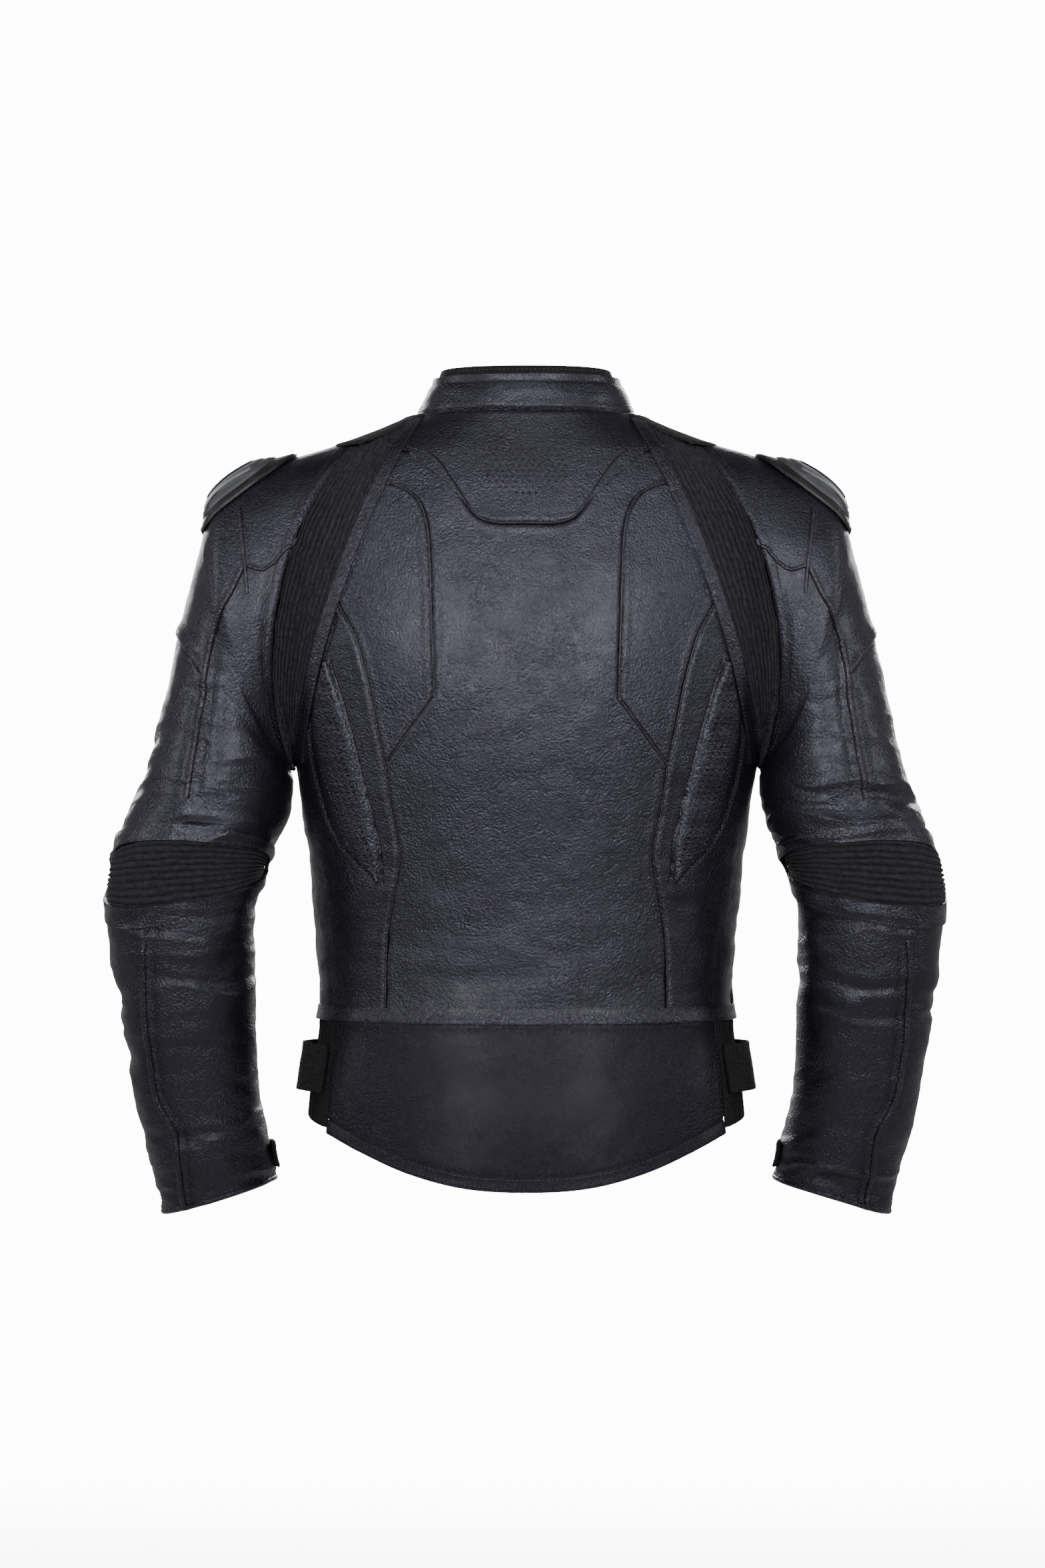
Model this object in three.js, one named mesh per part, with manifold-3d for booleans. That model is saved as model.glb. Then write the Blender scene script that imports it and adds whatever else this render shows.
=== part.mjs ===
// A leather riding jacket in its worn shape, hanging from the nape of the neck. Millimetres.
// Origin: centre back of the collar seam. +X is the wearer's right, +Y forwards, +Z up.
// The body form is the jacket's outer skin. Leather, padding and lining are walls laid inwards from it.
import * as THREE from "three";
import { mergeVertices } from "three/addons/utils/BufferGeometryUtils.js";
import Module from "manifold-3d";

const wasm = await Module();
wasm.setup();

// ---------------------------------------------------------------- driving dimensions
const CHEST_WIDTH = 380; // across the body under the arms
const CHEST_DEPTH = 210; // back to front at chest height
const BACK_LENGTH = 632; // collar seam to the lowest point of the tail
const BASE = { width: 380, depth: 210, length: 632 }; // the size that the tables below are drawn at

const LEATHER = 1.5; // cowhide wall
const KNIT = 1.2; // stretch fabric wall
const LINING_DEPTH = 4.5; // from the outer skin to the lining's outer face
const LINING = 1.5;
const PROTECTOR_GAP = 2; // lining to a protector behind it
const PROTECTOR = 9; // foam protector's thickness
const SEAM_GAP = 0.8; // between the edges of two sewn panels
const COLLAR_HEIGHT = 34;
const COLLAR_WALL = 3;
const COLLAR_FOOT = 4; // how far above the neckline the collar wall starts
const WAIST_DROP = 495; // collar seam to the waist seam
const TAIL_CORNER_DROP = 588;
const FRONT_HEM_DROP = 560;
const NECK_DROP = 78; // collar seam to the front of the neckline
const DOOR_WIDTH = 80; // centre front to the line where a front folds open
const ZIP_GAP = 5; // between the two rows of teeth with the zip undone
const TOOTH_WIDTH = 5;
const TOOTH_DEPTH = 4;
const TAPE_WIDTH = 6;
const TAPE = 1;
const SLIDER_LENGTH = 20;
const SLIDER_WALL = 1.6;
const SLIDER_PLAY = 0.5;
const PULL_LENGTH = 34;
const STRAP_WIDTH = 39; // waist adjuster, up and down
const STRAP = 1.5;
const STRAP_DROP = 537; // collar seam to the middle of the waist adjuster
const POCKET_LENGTH = 125;
const POCKET_TAPE_WIDTH = 16;
const CUP_BASE = 2;
const CUP_SHELL = 3.5;

// Grading: a size drawn at the base size, taken to the size asked for.
const wide = (v) => (v * CHEST_WIDTH) / BASE.width;
const deep = (v) => (v * CHEST_DEPTH) / BASE.depth;
const long = (v) => (v * BACK_LENGTH) / BASE.length;

// ---------------------------------------------------------------- the body form: torso
// Stations from the collar seam down: height, half width, back of the body.
const TORSO = [
  [0, 90, 0],
  [-20, 137, -10],
  [-35, 178, -18],
  [-60, 204, -28],
  [-100, 212, -38],
  [-150, 214, -46],
  [-200, 208, -49],
  [-250, 198, -47],
  [-288, 190, -43],
  [-350, 181, -33],
  [-420, 174, -24],
  [-495, 172, -22],
  [-560, 180, -31],
  [-640, 187, -37],
].map(([z, half, back]) => [long(z), wide(half), deep(back)]);
const FRONT_TOP = deep(144); // the centre front is one straight line, so that the zip runs straight
const FRONT_SLOPE = deep(48) / long(560); // how far forwards it goes for each millimetre down
const SECTION = 2.3; // superellipse power of the torso's sections

// A smooth curve through rows of numbers. The first number of a row is where the row stands.
function through(rows) {
  const down = rows[1][0] < rows[0][0] ? -1 : 1;
  const slope = (i, c) => {
    const a = rows[Math.max(i - 1, 0)];
    const b = rows[Math.min(i + 1, rows.length - 1)];
    return (b[c] - a[c]) / (b[0] - a[0]);
  };
  return (at, c) => {
    let i = 0;
    while (i < rows.length - 2 && down * (at - rows[i + 1][0]) > 0) i++;
    const span = rows[i + 1][0] - rows[i][0];
    const t = (at - rows[i][0]) / span;
    const [p, q] = [rows[i][c], rows[i + 1][c]];
    const [m, n] = [slope(i, c) * span, slope(i + 1, c) * span];
    return (
      p * (2 * t ** 3 - 3 * t * t + 1) +
      m * (t ** 3 - 2 * t * t + t) +
      q * (3 * t * t - 2 * t ** 3) +
      n * (t ** 3 - t * t)
    );
  };
}

const torsoAt = through(TORSO);
const halfWidth = (z) => torsoAt(z, 1);
const frontY = (z) => FRONT_TOP - FRONT_SLOPE * z;
const backY = (z) => torsoAt(z, 2);
const power = (v, p) => Math.sign(v) * Math.abs(v) ** p;

// The torso's skin at an angle round the body: 0 is the centre back, 90 the wearer's right, 180 the centre front.
function torso(angle, z) {
  const a = THREE.MathUtils.degToRad(angle);
  const centre = (frontY(z) + backY(z)) / 2;
  const half = (frontY(z) - backY(z)) / 2;
  return new THREE.Vector3(
    halfWidth(z) * power(Math.sin(a), 2 / SECTION),
    centre - half * power(Math.cos(a), 2 / SECTION),
    z,
  );
}

// The skin's y at a place seen from behind or from in front.
function torsoY(x, z, front) {
  const centre = (frontY(z) + backY(z)) / 2;
  const half = (frontY(z) - backY(z)) / 2;
  const share = Math.min(Math.abs(x) / halfWidth(z), 1);
  const reach = half * (1 - share ** SECTION) ** (1 / SECTION);
  return front ? centre + reach : centre - reach;
}

const angleAt = (x, z, front) => {
  const a = THREE.MathUtils.radToDeg(
    Math.asin(Math.min(Math.abs(x) / halfWidth(z), 1) ** (SECTION / 2)),
  );
  return front ? 180 - a : a;
};

// ---------------------------------------------------------------- the body form: sleeve
// Rings from the raglan seam, fanned about the armpit, and on down the arm to the cuff:
// inner x and z, outer x and z, how far the middle bows outwards, middle y, half depth.
const RINGS = [
  [190, -288, 90, 0, 14, 0, 0],
  [193, -291, 136, -19, 34, 66, 80],
  [193.5, -292, 184, -33, 28, 63, 80],
  [194, -293, 222, -45, 22, 61, 79],
  [194, -294, 250, -64, 17, 60, 78],
  [194, -295, 263, -90, 12, 60, 77],
  [193.5, -297, 270, -116, 8, 60, 76],
  [193, -300, 281, -160, 4, 59, 74],
  [193, -305, 290, -200, 0, 57, 73],
  [193.5, -315, 301, -250, 0, 54, 71],
  [197, -331, 311, -295, 0, 51, 69],
  [208, -352, 326, -335, 0, 47, 67],
  [218, -380, 341, -378, 0, 45, 65],
  [222, -420, 342, -425, 0, 48, 63],
  [223, -468, 336, -480, 0, 56, 60],
  [224, -518, 328, -535, 0, 66, 57],
  [221, -565, 318, -590, 0, 77, 53],
  [212, -605, 306, -632, 0, 86, 49],
  [208, -632, 301, -660, 0, 91, 46],
].map(([ix, iz, ox, oz, bow, y, d]) => ({
  inner: new THREE.Vector2(wide(ix), long(iz)),
  outer: new THREE.Vector2(wide(ox), long(oz)),
  bow: wide(bow),
  y: deep(y),
  depth: deep(d),
}));
RINGS[0].outer.x = halfWidth(RINGS[0].outer.y);
RINGS[0].inner.x = halfWidth(RINGS[0].inner.y);
const RING_SECTION = 2.2;
const STRETCH_END = 1; // rings 0 to 1 hold the stretch panels at the shoulder
const BICEPS = 7.6; // ring of the seam under the shoulder panel
const ELBOW_TOP = 10.6;
const ELBOW_BOTTOM = 13.2;
const CUFF = RINGS.length - 1;

// A point of ring i. Turn 0 is the outer edge, 90 the back, 180 the armpit side and 270 the front.
function ringPoint(i, turn) {
  const ring = RINGS[THREE.MathUtils.clamp(i, 0, CUFF)];
  const a = THREE.MathUtils.degToRad(turn);
  const axis = ring.outer.clone().sub(ring.inner).multiplyScalar(0.5);
  const across = new THREE.Vector2(axis.y, -axis.x).normalize();
  const flat = ring.inner
    .clone()
    .add(axis)
    .addScaledVector(axis, power(Math.cos(a), 2 / RING_SECTION))
    .addScaledVector(across, ring.bow * Math.sin(a) ** 2);
  if (ring !== RINGS[0]) {
    const y = ring.y - ring.depth * power(Math.sin(a), 2 / RING_SECTION);
    return new THREE.Vector3(flat.x, y, flat.y);
  }
  const y = torsoY(flat.x, flat.y, Math.sin(a) < 0);
  return new THREE.Vector3(flat.x, y, flat.y);
}

// The sleeve's skin: a smooth curve through the rings at one turn.
function sleeve(turn, at) {
  const i = Math.min(Math.floor(at), CUFF - 1);
  const curve = new THREE.CatmullRomCurve3(
    [-1, 0, 1, 2].map((step) => ringPoint(i + step, turn)),
    false,
    "catmullrom",
    0.5,
  );
  return curve.getPoint((1 + at - i) / 3);
}

// ---------------------------------------------------------------- solids from surfaces
const STEP = 1e-3;

// A wall laid inwards from a surface of (u, v), between two depths under it. A tube closes on itself in u.
function wall(surface, { u, v, from, to, tube = false, outward }) {
  const [u0, u1, across] = u;
  const [v0, v1, down] = v;
  const columns = tube ? across : across + 1;
  const positions = [];
  const depthOf = (d, s, t) => (typeof d === "function" ? d(s, t) : d);
  for (const depth of [from, to])
    for (let j = 0; j <= down; j++)
      for (let i = 0; i < columns; i++) {
        const s = u0 + ((u1 - u0) * i) / across;
        const t = v0 + ((v1 - v0) * j) / down;
        const p = surface(s, t);
        const du = surface(s + STEP, t).sub(surface(s - STEP, t));
        const dv = surface(s, t + STEP).sub(surface(s, t - STEP));
        const normal = du.cross(dv).normalize();
        if (outward(p).dot(normal) < 0) normal.negate();
        positions.push(...p.addScaledVector(normal, -depthOf(depth, s, t)));
      }
  const layer = columns * (down + 1);
  const id = (k, i, j) => k * layer + j * columns + (i % columns);
  const index = [];
  const quad = (a, b, c, d) => index.push(a, b, c, a, c, d);
  for (let j = 0; j < down; j++)
    for (let i = 0; i < across; i++) {
      quad(id(0, i, j), id(0, i + 1, j), id(0, i + 1, j + 1), id(0, i, j + 1));
      quad(id(1, i, j), id(1, i, j + 1), id(1, i + 1, j + 1), id(1, i + 1, j));
    }
  for (let i = 0; i < across; i++) {
    quad(id(0, i, 0), id(1, i, 0), id(1, i + 1, 0), id(0, i + 1, 0));
    quad(id(0, i, down), id(0, i + 1, down), id(1, i + 1, down), id(1, i, down));
  }
  if (!tube)
    for (let j = 0; j < down; j++) {
      quad(id(0, 0, j), id(0, 0, j + 1), id(1, 0, j + 1), id(1, 0, j));
      quad(id(0, across, j), id(1, across, j), id(1, across, j + 1), id(0, across, j + 1));
    }
  const geometry = new THREE.BufferGeometry();
  geometry.setAttribute("position", new THREE.Float32BufferAttribute(positions, 3));
  geometry.setIndex(index);
  return facingOut(geometry);
}

// Turns every face round if the closed geometry is inside out.
function facingOut(geometry) {
  const p = geometry.attributes.position;
  const index = geometry.index.array;
  const at = (k) => new THREE.Vector3().fromBufferAttribute(p, index[k]);
  let volume = 0;
  for (let k = 0; k < index.length; k += 3) volume += at(k).dot(at(k + 1).cross(at(k + 2)));
  if (volume < 0)
    for (let k = 0; k < index.length; k += 3) [index[k], index[k + 1]] = [index[k + 1], index[k]];
  return geometry;
}

// A three.js geometry as a manifold-3d solid, and back.
function solid(geometry) {
  const bare = geometry.clone();
  bare.deleteAttribute("normal");
  bare.deleteAttribute("uv");
  const merged = mergeVertices(bare, 1e-4);
  return new wasm.Manifold(
    new wasm.Mesh({
      numProp: 3,
      vertProperties: new Float32Array(merged.attributes.position.array),
      triVerts: new Uint32Array(merged.index.array),
    }),
  );
}

function geometryOf(manifold) {
  const made = manifold.getMesh();
  const geometry = new THREE.BufferGeometry();
  const positions = new Float32Array(made.vertProperties);
  geometry.setAttribute("position", new THREE.BufferAttribute(positions, 3));
  geometry.setIndex(new THREE.BufferAttribute(new Uint32Array(made.triVerts), 1));
  return geometry;
}

const FAR = 900; // further than any part of the jacket

// A prism standing front to back, whose outline is drawn in x and z.
function prism(outline, from = -FAR, to = FAR) {
  const shape = new THREE.Shape(outline.map(([x, z]) => new THREE.Vector2(x, z)));
  const geometry = new THREE.ExtrudeGeometry(shape, { depth: to - from, bevelEnabled: false });
  geometry.rotateX(Math.PI / 2).translate(0, to, 0);
  return solid(geometry);
}

// A smooth seam line through its points, in x and z.
function seam(points, count = 14) {
  const curve = new THREE.SplineCurve(points.map(([x, z]) => new THREE.Vector2(wide(x), long(z))));
  return curve.getPoints(count).map((p) => [p.x, p.y]);
}
const mirrored = (line) => line.map(([x, z]) => [-x, z]).reverse();

// A ribbon along a seam line, as wide as the gap between two panels.
function kerf(line, from, to) {
  const side = (s) =>
    line.map(([x, z], i) => {
      const a = line[Math.max(i - 1, 0)];
      const b = line[Math.min(i + 1, line.length - 1)];
      const across = new THREE.Vector2(a[1] - b[1], b[0] - a[0]).setLength((s * SEAM_GAP) / 2);
      return [x + across.x, z + across.y];
    });
  return prism([...side(1), ...side(-1).reverse()], from, to);
}

// ---------------------------------------------------------------- the jacket as a group of named meshes
const FINISHES = {
  leather: { color: 0x26262b, roughness: 0.45, metalness: 0 },
  knit: { color: 0x17171a, roughness: 0.9, metalness: 0 },
  lining: { color: 0x1c1c20, roughness: 0.95, metalness: 0 },
  armour: { color: 0x2c2d33, roughness: 0.4, metalness: 0 },
  foam: { color: 0x3a3f46, roughness: 0.9, metalness: 0 },
  metal: { color: 0x55565a, roughness: 0.35, metalness: 0.9 },
  hook_tape: { color: 0x101012, roughness: 1, metalness: 0 },
};
const jacket = new THREE.Group();

function add(name, shape, finish) {
  const geometry = shape.isBufferGeometry ? shape : geometryOf(shape);
  const mesh = new THREE.Mesh(geometry, new THREE.MeshStandardMaterial(FINISHES[finish]));
  mesh.name = name;
  jacket.add(mesh);
  return mesh;
}

// The same piece on the wearer's right and, mirrored, on the left.
function addPair(name, shape, finish) {
  const right = add(name + "_right", shape, finish);
  const left = right.clone();
  left.name = name + "_left";
  left.scale.x = -1;
  jacket.add(left);
}

// ---------------------------------------------------------------- seams of the torso
const SIDE_Y = deep(66); // the side seams lie in this plane
const raglan = [];
for (let turn = 0; turn <= 180; turn += 10) {
  const p = ringPoint(0, turn);
  raglan.push([p.x, p.z]);
}
const raglanAt = (z) => {
  const i = raglan.findIndex((p) => p[1] <= z);
  const [a, b] = [raglan[i - 1], raglan[i]];
  return a[0] + ((b[0] - a[0]) * (z - a[1])) / (b[1] - a[1]);
};
const onRaglan = (z) => [raglanAt(long(z)) / wide(1), z];

const yokeSeam = seam([onRaglan(-32), [76, -39], [57, -63], [40, -88], [24, -94], [0, -94]]);
const bladeSeam = [
  ...seam([onRaglan(-59), [98, -66], [86, -77], [79, -102], [76, -170], [74, -235]]),
  [wide(114), long(-289)],
];
const outerSeam = seam([onRaglan(-151), [140, -181], [129, -217], [121, -256], [114, -289]], 8);
const princessSeam = seam([
  [114, -289],
  [110, -320],
  [103, -362],
  [108, -398],
  [113, -430],
  [115, -WAIST_DROP / long(1)],
], 8);
const WAIST = -WAIST_DROP;

// The neckline: level round the back, and dropping to the front.
function neckline(angle) {
  if (Math.abs(angle) <= 90) return torso(angle, 0);
  const t = THREE.MathUtils.degToRad(Math.abs(angle) - 90);
  const x = halfWidth(0) * Math.cos(t);
  const z = -NECK_DROP * Math.sin(t);
  return new THREE.Vector3(Math.sign(angle) * x, torsoY(x, z, true), z);
}

// ---------------------------------------------------------------- torso walls
const fromAxis = (p) => new THREE.Vector3(p.x, p.y - SIDE_Y, Math.max(p.z + long(150), 0) * 0.6);

function torsoWall(from, to, top, bottom, across, down) {
  return solid(
    wall(torso, {
      u: [0, 360, across],
      v: [top, bottom, down],
      from,
      to,
      tube: true,
      outward: fromAxis,
    }),
  );
}

// What lies beyond the raglan seams belongs to the sleeves. What lies above the neckline is open.
const armholeFloor = RINGS[1].inner.y - SEAM_GAP;
const armhole = prism([
  ...raglan.map(([x, z]) => [x - SEAM_GAP, z - (z < long(-250) ? SEAM_GAP : 0)]),
  [raglan[raglan.length - 1][0] - SEAM_GAP, armholeFloor],
  [FAR, armholeFloor],
  [FAR, FAR],
  [raglan[0][0] - SEAM_GAP, FAR],
]);
const armholes = armhole.add(armhole.mirror([1, 0, 0]));
const neckLine = [];
for (let angle = 90; angle <= 270; angle += 10) {
  const p = neckline(angle <= 180 ? angle : angle - 360);
  neckLine.push([p.x, p.z]);
}
const neckHole = prism(
  [...neckLine.map(([x, z]) => [x * 1.001, z - SEAM_GAP]), [-halfWidth(0), FAR], [halfWidth(0), FAR]],
  SIDE_Y,
);

const upperWall = torsoWall(0, LEATHER, -SEAM_GAP, WAIST + SEAM_GAP, 32, 11)
  .subtract(armholes)
  .subtract(neckHole);

// ---------------------------------------------------------------- back panels
const backKerfs = [yokeSeam, bladeSeam, outerSeam, princessSeam]
  .flatMap((line) => [kerf(line, -FAR, SIDE_Y), kerf(mirrored(line), -FAR, SIDE_Y)])
  .reduce((sum, k) => sum.add(k));
const upperBack = upperWall
  .intersect(prism([[-FAR, -FAR], [FAR, -FAR], [FAR, FAR], [-FAR, FAR]], -FAR, SIDE_Y - SEAM_GAP / 2))
  .subtract(backKerfs);
const backPanel = (outline) => upperBack.intersect(prism(outline, -FAR, SIDE_Y));

const FULL = wide(240); // wider than the torso, and narrower than the sleeves' outer edge
add(
  "back_yoke",
  backPanel([...yokeSeam, ...mirrored(yokeSeam), [-FULL, 10], [FULL, 10]]),
  "leather",
);
const underBlade = bladeSeam[bladeSeam.length - 1];
add(
  "back_centre",
  backPanel([
    ...[...yokeSeam].reverse().slice(1),
    [FULL, yokeSeam[0][1]],
    [FULL, bladeSeam[0][1]],
    ...bladeSeam.slice(0, -1),
    ...princessSeam,
    ...mirrored([...bladeSeam.slice(0, -1), ...princessSeam]),
    [-FULL, bladeSeam[0][1]],
    [-FULL, yokeSeam[0][1]],
    ...[...mirrored(yokeSeam)].reverse().slice(0, -1),
    yokeSeam[yokeSeam.length - 1],
  ]),
  "leather",
);
addPair(
  "blade_panel",
  backPanel([
    ...[...bladeSeam].reverse(),
    [FULL, bladeSeam[0][1]],
    [FULL, outerSeam[0][1]],
    ...outerSeam.slice(0, -1),
  ]),
  "leather",
);
addPair(
  "side_back",
  backPanel([
    ...[...princessSeam].reverse(),
    ...[...outerSeam].reverse().slice(1),
    [FULL, outerSeam[0][1]],
    [FULL, WAIST],
  ]),
  "leather",
);

// ---------------------------------------------------------------- below the waist
const HEM_ROW = -Math.max(BACK_LENGTH, TAIL_CORNER_DROP) - 4;
const lowerWall = torsoWall(0, LEATHER, WAIST - SEAM_GAP, HEM_ROW, 32, 3);
const lowerKnit = torsoWall(1, 1 + KNIT, WAIST - SEAM_GAP, HEM_ROW, 32, 3);
const TAIL_TOP_HALF = wide(155);
const TAIL_CORNER_HALF = wide(164);
const hem = new THREE.SplineCurve([
  new THREE.Vector2(TAIL_CORNER_HALF, -TAIL_CORNER_DROP),
  new THREE.Vector2(wide(95), -BACK_LENGTH + 14),
  new THREE.Vector2(0, -BACK_LENGTH),
  new THREE.Vector2(-wide(95), -BACK_LENGTH + 14),
  new THREE.Vector2(-TAIL_CORNER_HALF, -TAIL_CORNER_DROP),
])
  .getPoints(16)
  .map((p) => [p.x, p.y]);
const tailOutline = [...hem, [-TAIL_TOP_HALF, WAIST], [TAIL_TOP_HALF, WAIST]];
add("tail_panel", lowerWall.intersect(prism(tailOutline, -FAR, SIDE_Y)), "leather");

const HIP_FRONT = wide(126); // where the knit side meets the leather front
const HIP_DROP = TAIL_CORNER_DROP - 4;
const hipBack = prism(
  [
    [TAIL_TOP_HALF + SEAM_GAP, WAIST],
    [TAIL_CORNER_HALF + SEAM_GAP, -TAIL_CORNER_DROP],
    [TAIL_CORNER_HALF + SEAM_GAP, -HIP_DROP],
    [FULL, -HIP_DROP],
    [FULL, WAIST],
  ],
  -FAR,
  SIDE_Y,
);
const hipFront = prism(
  [
    [HIP_FRONT + SEAM_GAP, WAIST],
    [HIP_FRONT + SEAM_GAP, -FRONT_HEM_DROP - 4],
    [wide(160), -HIP_DROP],
    [FULL, -HIP_DROP],
    [FULL, WAIST],
  ],
  SIDE_Y - 0.01,
);
addPair("hip_knit", lowerKnit.intersect(hipBack.add(hipFront)), "knit");

// ---------------------------------------------------------------- fronts
const DOOR = wide(DOOR_WIDTH);
const EDGE = ZIP_GAP / 2 + TOOTH_WIDTH + TAPE_WIDTH; // where the leather starts beside the zip
const front = (outline) => prism(outline, SIDE_Y + SEAM_GAP / 2);
const fullWall = torsoWall(0, LEATHER, -SEAM_GAP, -FRONT_HEM_DROP, 32, 12)
  .subtract(armholes)
  .subtract(neckHole);
addPair(
  "side_front",
  fullWall.intersect(
    front([
      [DOOR + SEAM_GAP / 2, FAR],
      [DOOR + SEAM_GAP / 2, -FRONT_HEM_DROP],
      [HIP_FRONT, -FRONT_HEM_DROP],
      [HIP_FRONT, WAIST],
      [FULL, WAIST],
      [FULL, FAR],
    ]),
  ),
  "leather",
);
const doorOutline = (inner) => [
  [inner, FAR],
  [inner, -FRONT_HEM_DROP],
  [DOOR - SEAM_GAP / 2, -FRONT_HEM_DROP],
  [DOOR - SEAM_GAP / 2, FAR],
];
addPair("front_panel", fullWall.intersect(front(doorOutline(EDGE + SEAM_GAP))), "leather");

// ---------------------------------------------------------------- lining and protectors of the torso
const liningWall = torsoWall(LINING_DEPTH, LINING_DEPTH + LINING, long(-6), HEM_ROW, 24, 12)
  .subtract(armholes)
  .subtract(neckHole);
const doorSlot = prism([
  [-DOOR - SEAM_GAP / 2, -FAR],
  [DOOR + SEAM_GAP / 2, -FAR],
  [DOOR + SEAM_GAP / 2, FAR],
  [-DOOR - SEAM_GAP / 2, FAR],
], SIDE_Y);
const LINING_SHORT = 6; // the lining stops this far above the hems
const raised = (outline) => outline.map(([x, z]) => [x, z + LINING_SHORT]);
const liningHem = prism([...raised(hem), [-FAR, -HIP_DROP], [-FAR, -FAR], [FAR, -FAR], [FAR, -HIP_DROP]]);
const frontHemLift = prism([
  [-HIP_FRONT, -FAR],
  [HIP_FRONT, -FAR],
  [HIP_FRONT, -FRONT_HEM_DROP + LINING_SHORT],
  [-HIP_FRONT, -FRONT_HEM_DROP + LINING_SHORT],
], SIDE_Y);
add("lining_back", liningWall.subtract(doorSlot).subtract(liningHem).subtract(frontHemLift), "lining");
addPair(
  "front_lining",
  liningWall.intersect(
    prism([
      [EDGE + SEAM_GAP, -FRONT_HEM_DROP + LINING_SHORT],
      [DOOR - SEAM_GAP / 2, -FRONT_HEM_DROP + LINING_SHORT],
      [DOOR - SEAM_GAP / 2, FAR],
      [EDGE + SEAM_GAP, FAR],
    ], SIDE_Y),
  ),
  "lining",
);

const BEHIND_LINING = LINING_DEPTH + LINING + PROTECTOR_GAP;
const protectorWall = torsoWall(BEHIND_LINING, BEHIND_LINING + PROTECTOR, long(-60), long(-440), 32, 7);
add(
  "back_protector",
  protectorWall.intersect(
    prism(
      [
        [62, -75],
        [88, -120],
        [92, -250],
        [70, -360],
        [52, -425],
        [-52, -425],
        [-70, -360],
        [-92, -250],
        [-88, -120],
        [-62, -75],
      ].map(([x, z]) => [wide(x), long(z)]),
      -FAR,
      SIDE_Y,
    ),
  ),
  "foam",
);

// ---------------------------------------------------------------- collar
const COLLAR_TOP_HALF = wide(76);
const COLLAR_LEAN = deep(7); // how far the top of the collar leans in at the back and the front
function collar(angle, up) {
  const foot = neckline(angle);
  const a = THREE.MathUtils.degToRad(angle);
  const side = Math.sin(a) ** 2;
  const inwards = THREE.MathUtils.lerp(COLLAR_LEAN, halfWidth(0) - COLLAR_TOP_HALF, side);
  const radial = new THREE.Vector3(Math.sin(a), -Math.cos(a), 0);
  return foot.addScaledVector(radial, -inwards * up).add(new THREE.Vector3(0, 0, COLLAR_HEIGHT * up));
}
const collarWall = (from, to, count) =>
  wall(collar, {
    u: [from, to, count],
    v: [COLLAR_FOOT / COLLAR_HEIGHT, 1, 2],
    from: 0,
    to: COLLAR_WALL,
    outward: (p) => new THREE.Vector3(p.x, p.y - SIDE_Y, 0),
  });
// The collar is cut where the fronts fold open.
const foldAngle = 90 + THREE.MathUtils.radToDeg(Math.acos(DOOR / halfWidth(0)));
const collarSplit = 0.6; // degrees left free on each side of that cut
const collarFrontEnd = 180 - THREE.MathUtils.radToDeg(Math.asin((EDGE + SEAM_GAP) / halfWidth(0)));
add("collar_back", collarWall(-foldAngle + collarSplit, foldAngle - collarSplit, 22), "leather");
addPair("collar_front", collarWall(foldAngle + collarSplit, collarFrontEnd, 5), "leather");

const LOOP_HALF = 28;
const LOOP_SAG = 12;
const loopInset = LINING_DEPTH + LINING + 2.5;
const loopLine = new THREE.QuadraticBezierCurve3(
  new THREE.Vector3(-LOOP_HALF, loopInset + 1.5, -9),
  new THREE.Vector3(0, loopInset + LOOP_SAG, -9 - LOOP_SAG),
  new THREE.Vector3(LOOP_HALF, loopInset + 1.5, -9),
);
const loopSection = new THREE.Shape([
  new THREE.Vector2(-0.6, -3.5),
  new THREE.Vector2(0.6, -3.5),
  new THREE.Vector2(0.6, 3.5),
  new THREE.Vector2(-0.6, 3.5),
]);
add(
  "hanger_loop",
  new THREE.ExtrudeGeometry(loopSection, { steps: 10, extrudePath: loopLine, bevelEnabled: false }),
  "knit",
);

// ---------------------------------------------------------------- front zip, undone, its slider parked at the hem
// Pieces of the zip are drawn in x, height and depth under the skin's centre line, and leaned to that line.
const ZIP_LEAN = Math.atan(FRONT_SLOPE);
const ZIP_TOP = -NECK_DROP - 6;
const ZIP_BOTTOM = -FRONT_HEM_DROP + 2;
const ZIP_DEPTH = 1.2; // skin to the front of the teeth

function zipBlock(x0, x1, z0, z1, depth0, depth1) {
  const geometry = new THREE.BoxGeometry(x1 - x0, depth1 - depth0, z1 - z0);
  geometry.translate((x0 + x1) / 2, -(depth0 + depth1) / 2, (z0 + z1) / 2);
  geometry.rotateX(ZIP_LEAN).translate(0, FRONT_TOP, 0);
  return solid(geometry);
}
const along = (z) => z / Math.cos(ZIP_LEAN);
const tapeDepth = ZIP_DEPTH + TOOTH_DEPTH / 2 - TAPE / 2;
const teeth = zipBlock(
  ZIP_GAP / 2,
  ZIP_GAP / 2 + TOOTH_WIDTH,
  along(ZIP_BOTTOM),
  along(ZIP_TOP),
  ZIP_DEPTH,
  ZIP_DEPTH + TOOTH_DEPTH,
);
const tape = zipBlock(
  ZIP_GAP / 2 + TOOTH_WIDTH - 1,
  EDGE,
  along(ZIP_BOTTOM),
  along(ZIP_TOP),
  tapeDepth,
  tapeDepth + TAPE,
);
addPair("zip_tape", teeth.add(tape), "knit");

const FLAP_DEPTH = LINING_DEPTH + LINING + 3;
add(
  "wind_flap",
  zipBlock(-wide(34), ZIP_GAP / 2 - SEAM_GAP, along(ZIP_BOTTOM + 8), along(ZIP_TOP - 8), FLAP_DEPTH, FLAP_DEPTH + 2),
  "lining",
);

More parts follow.
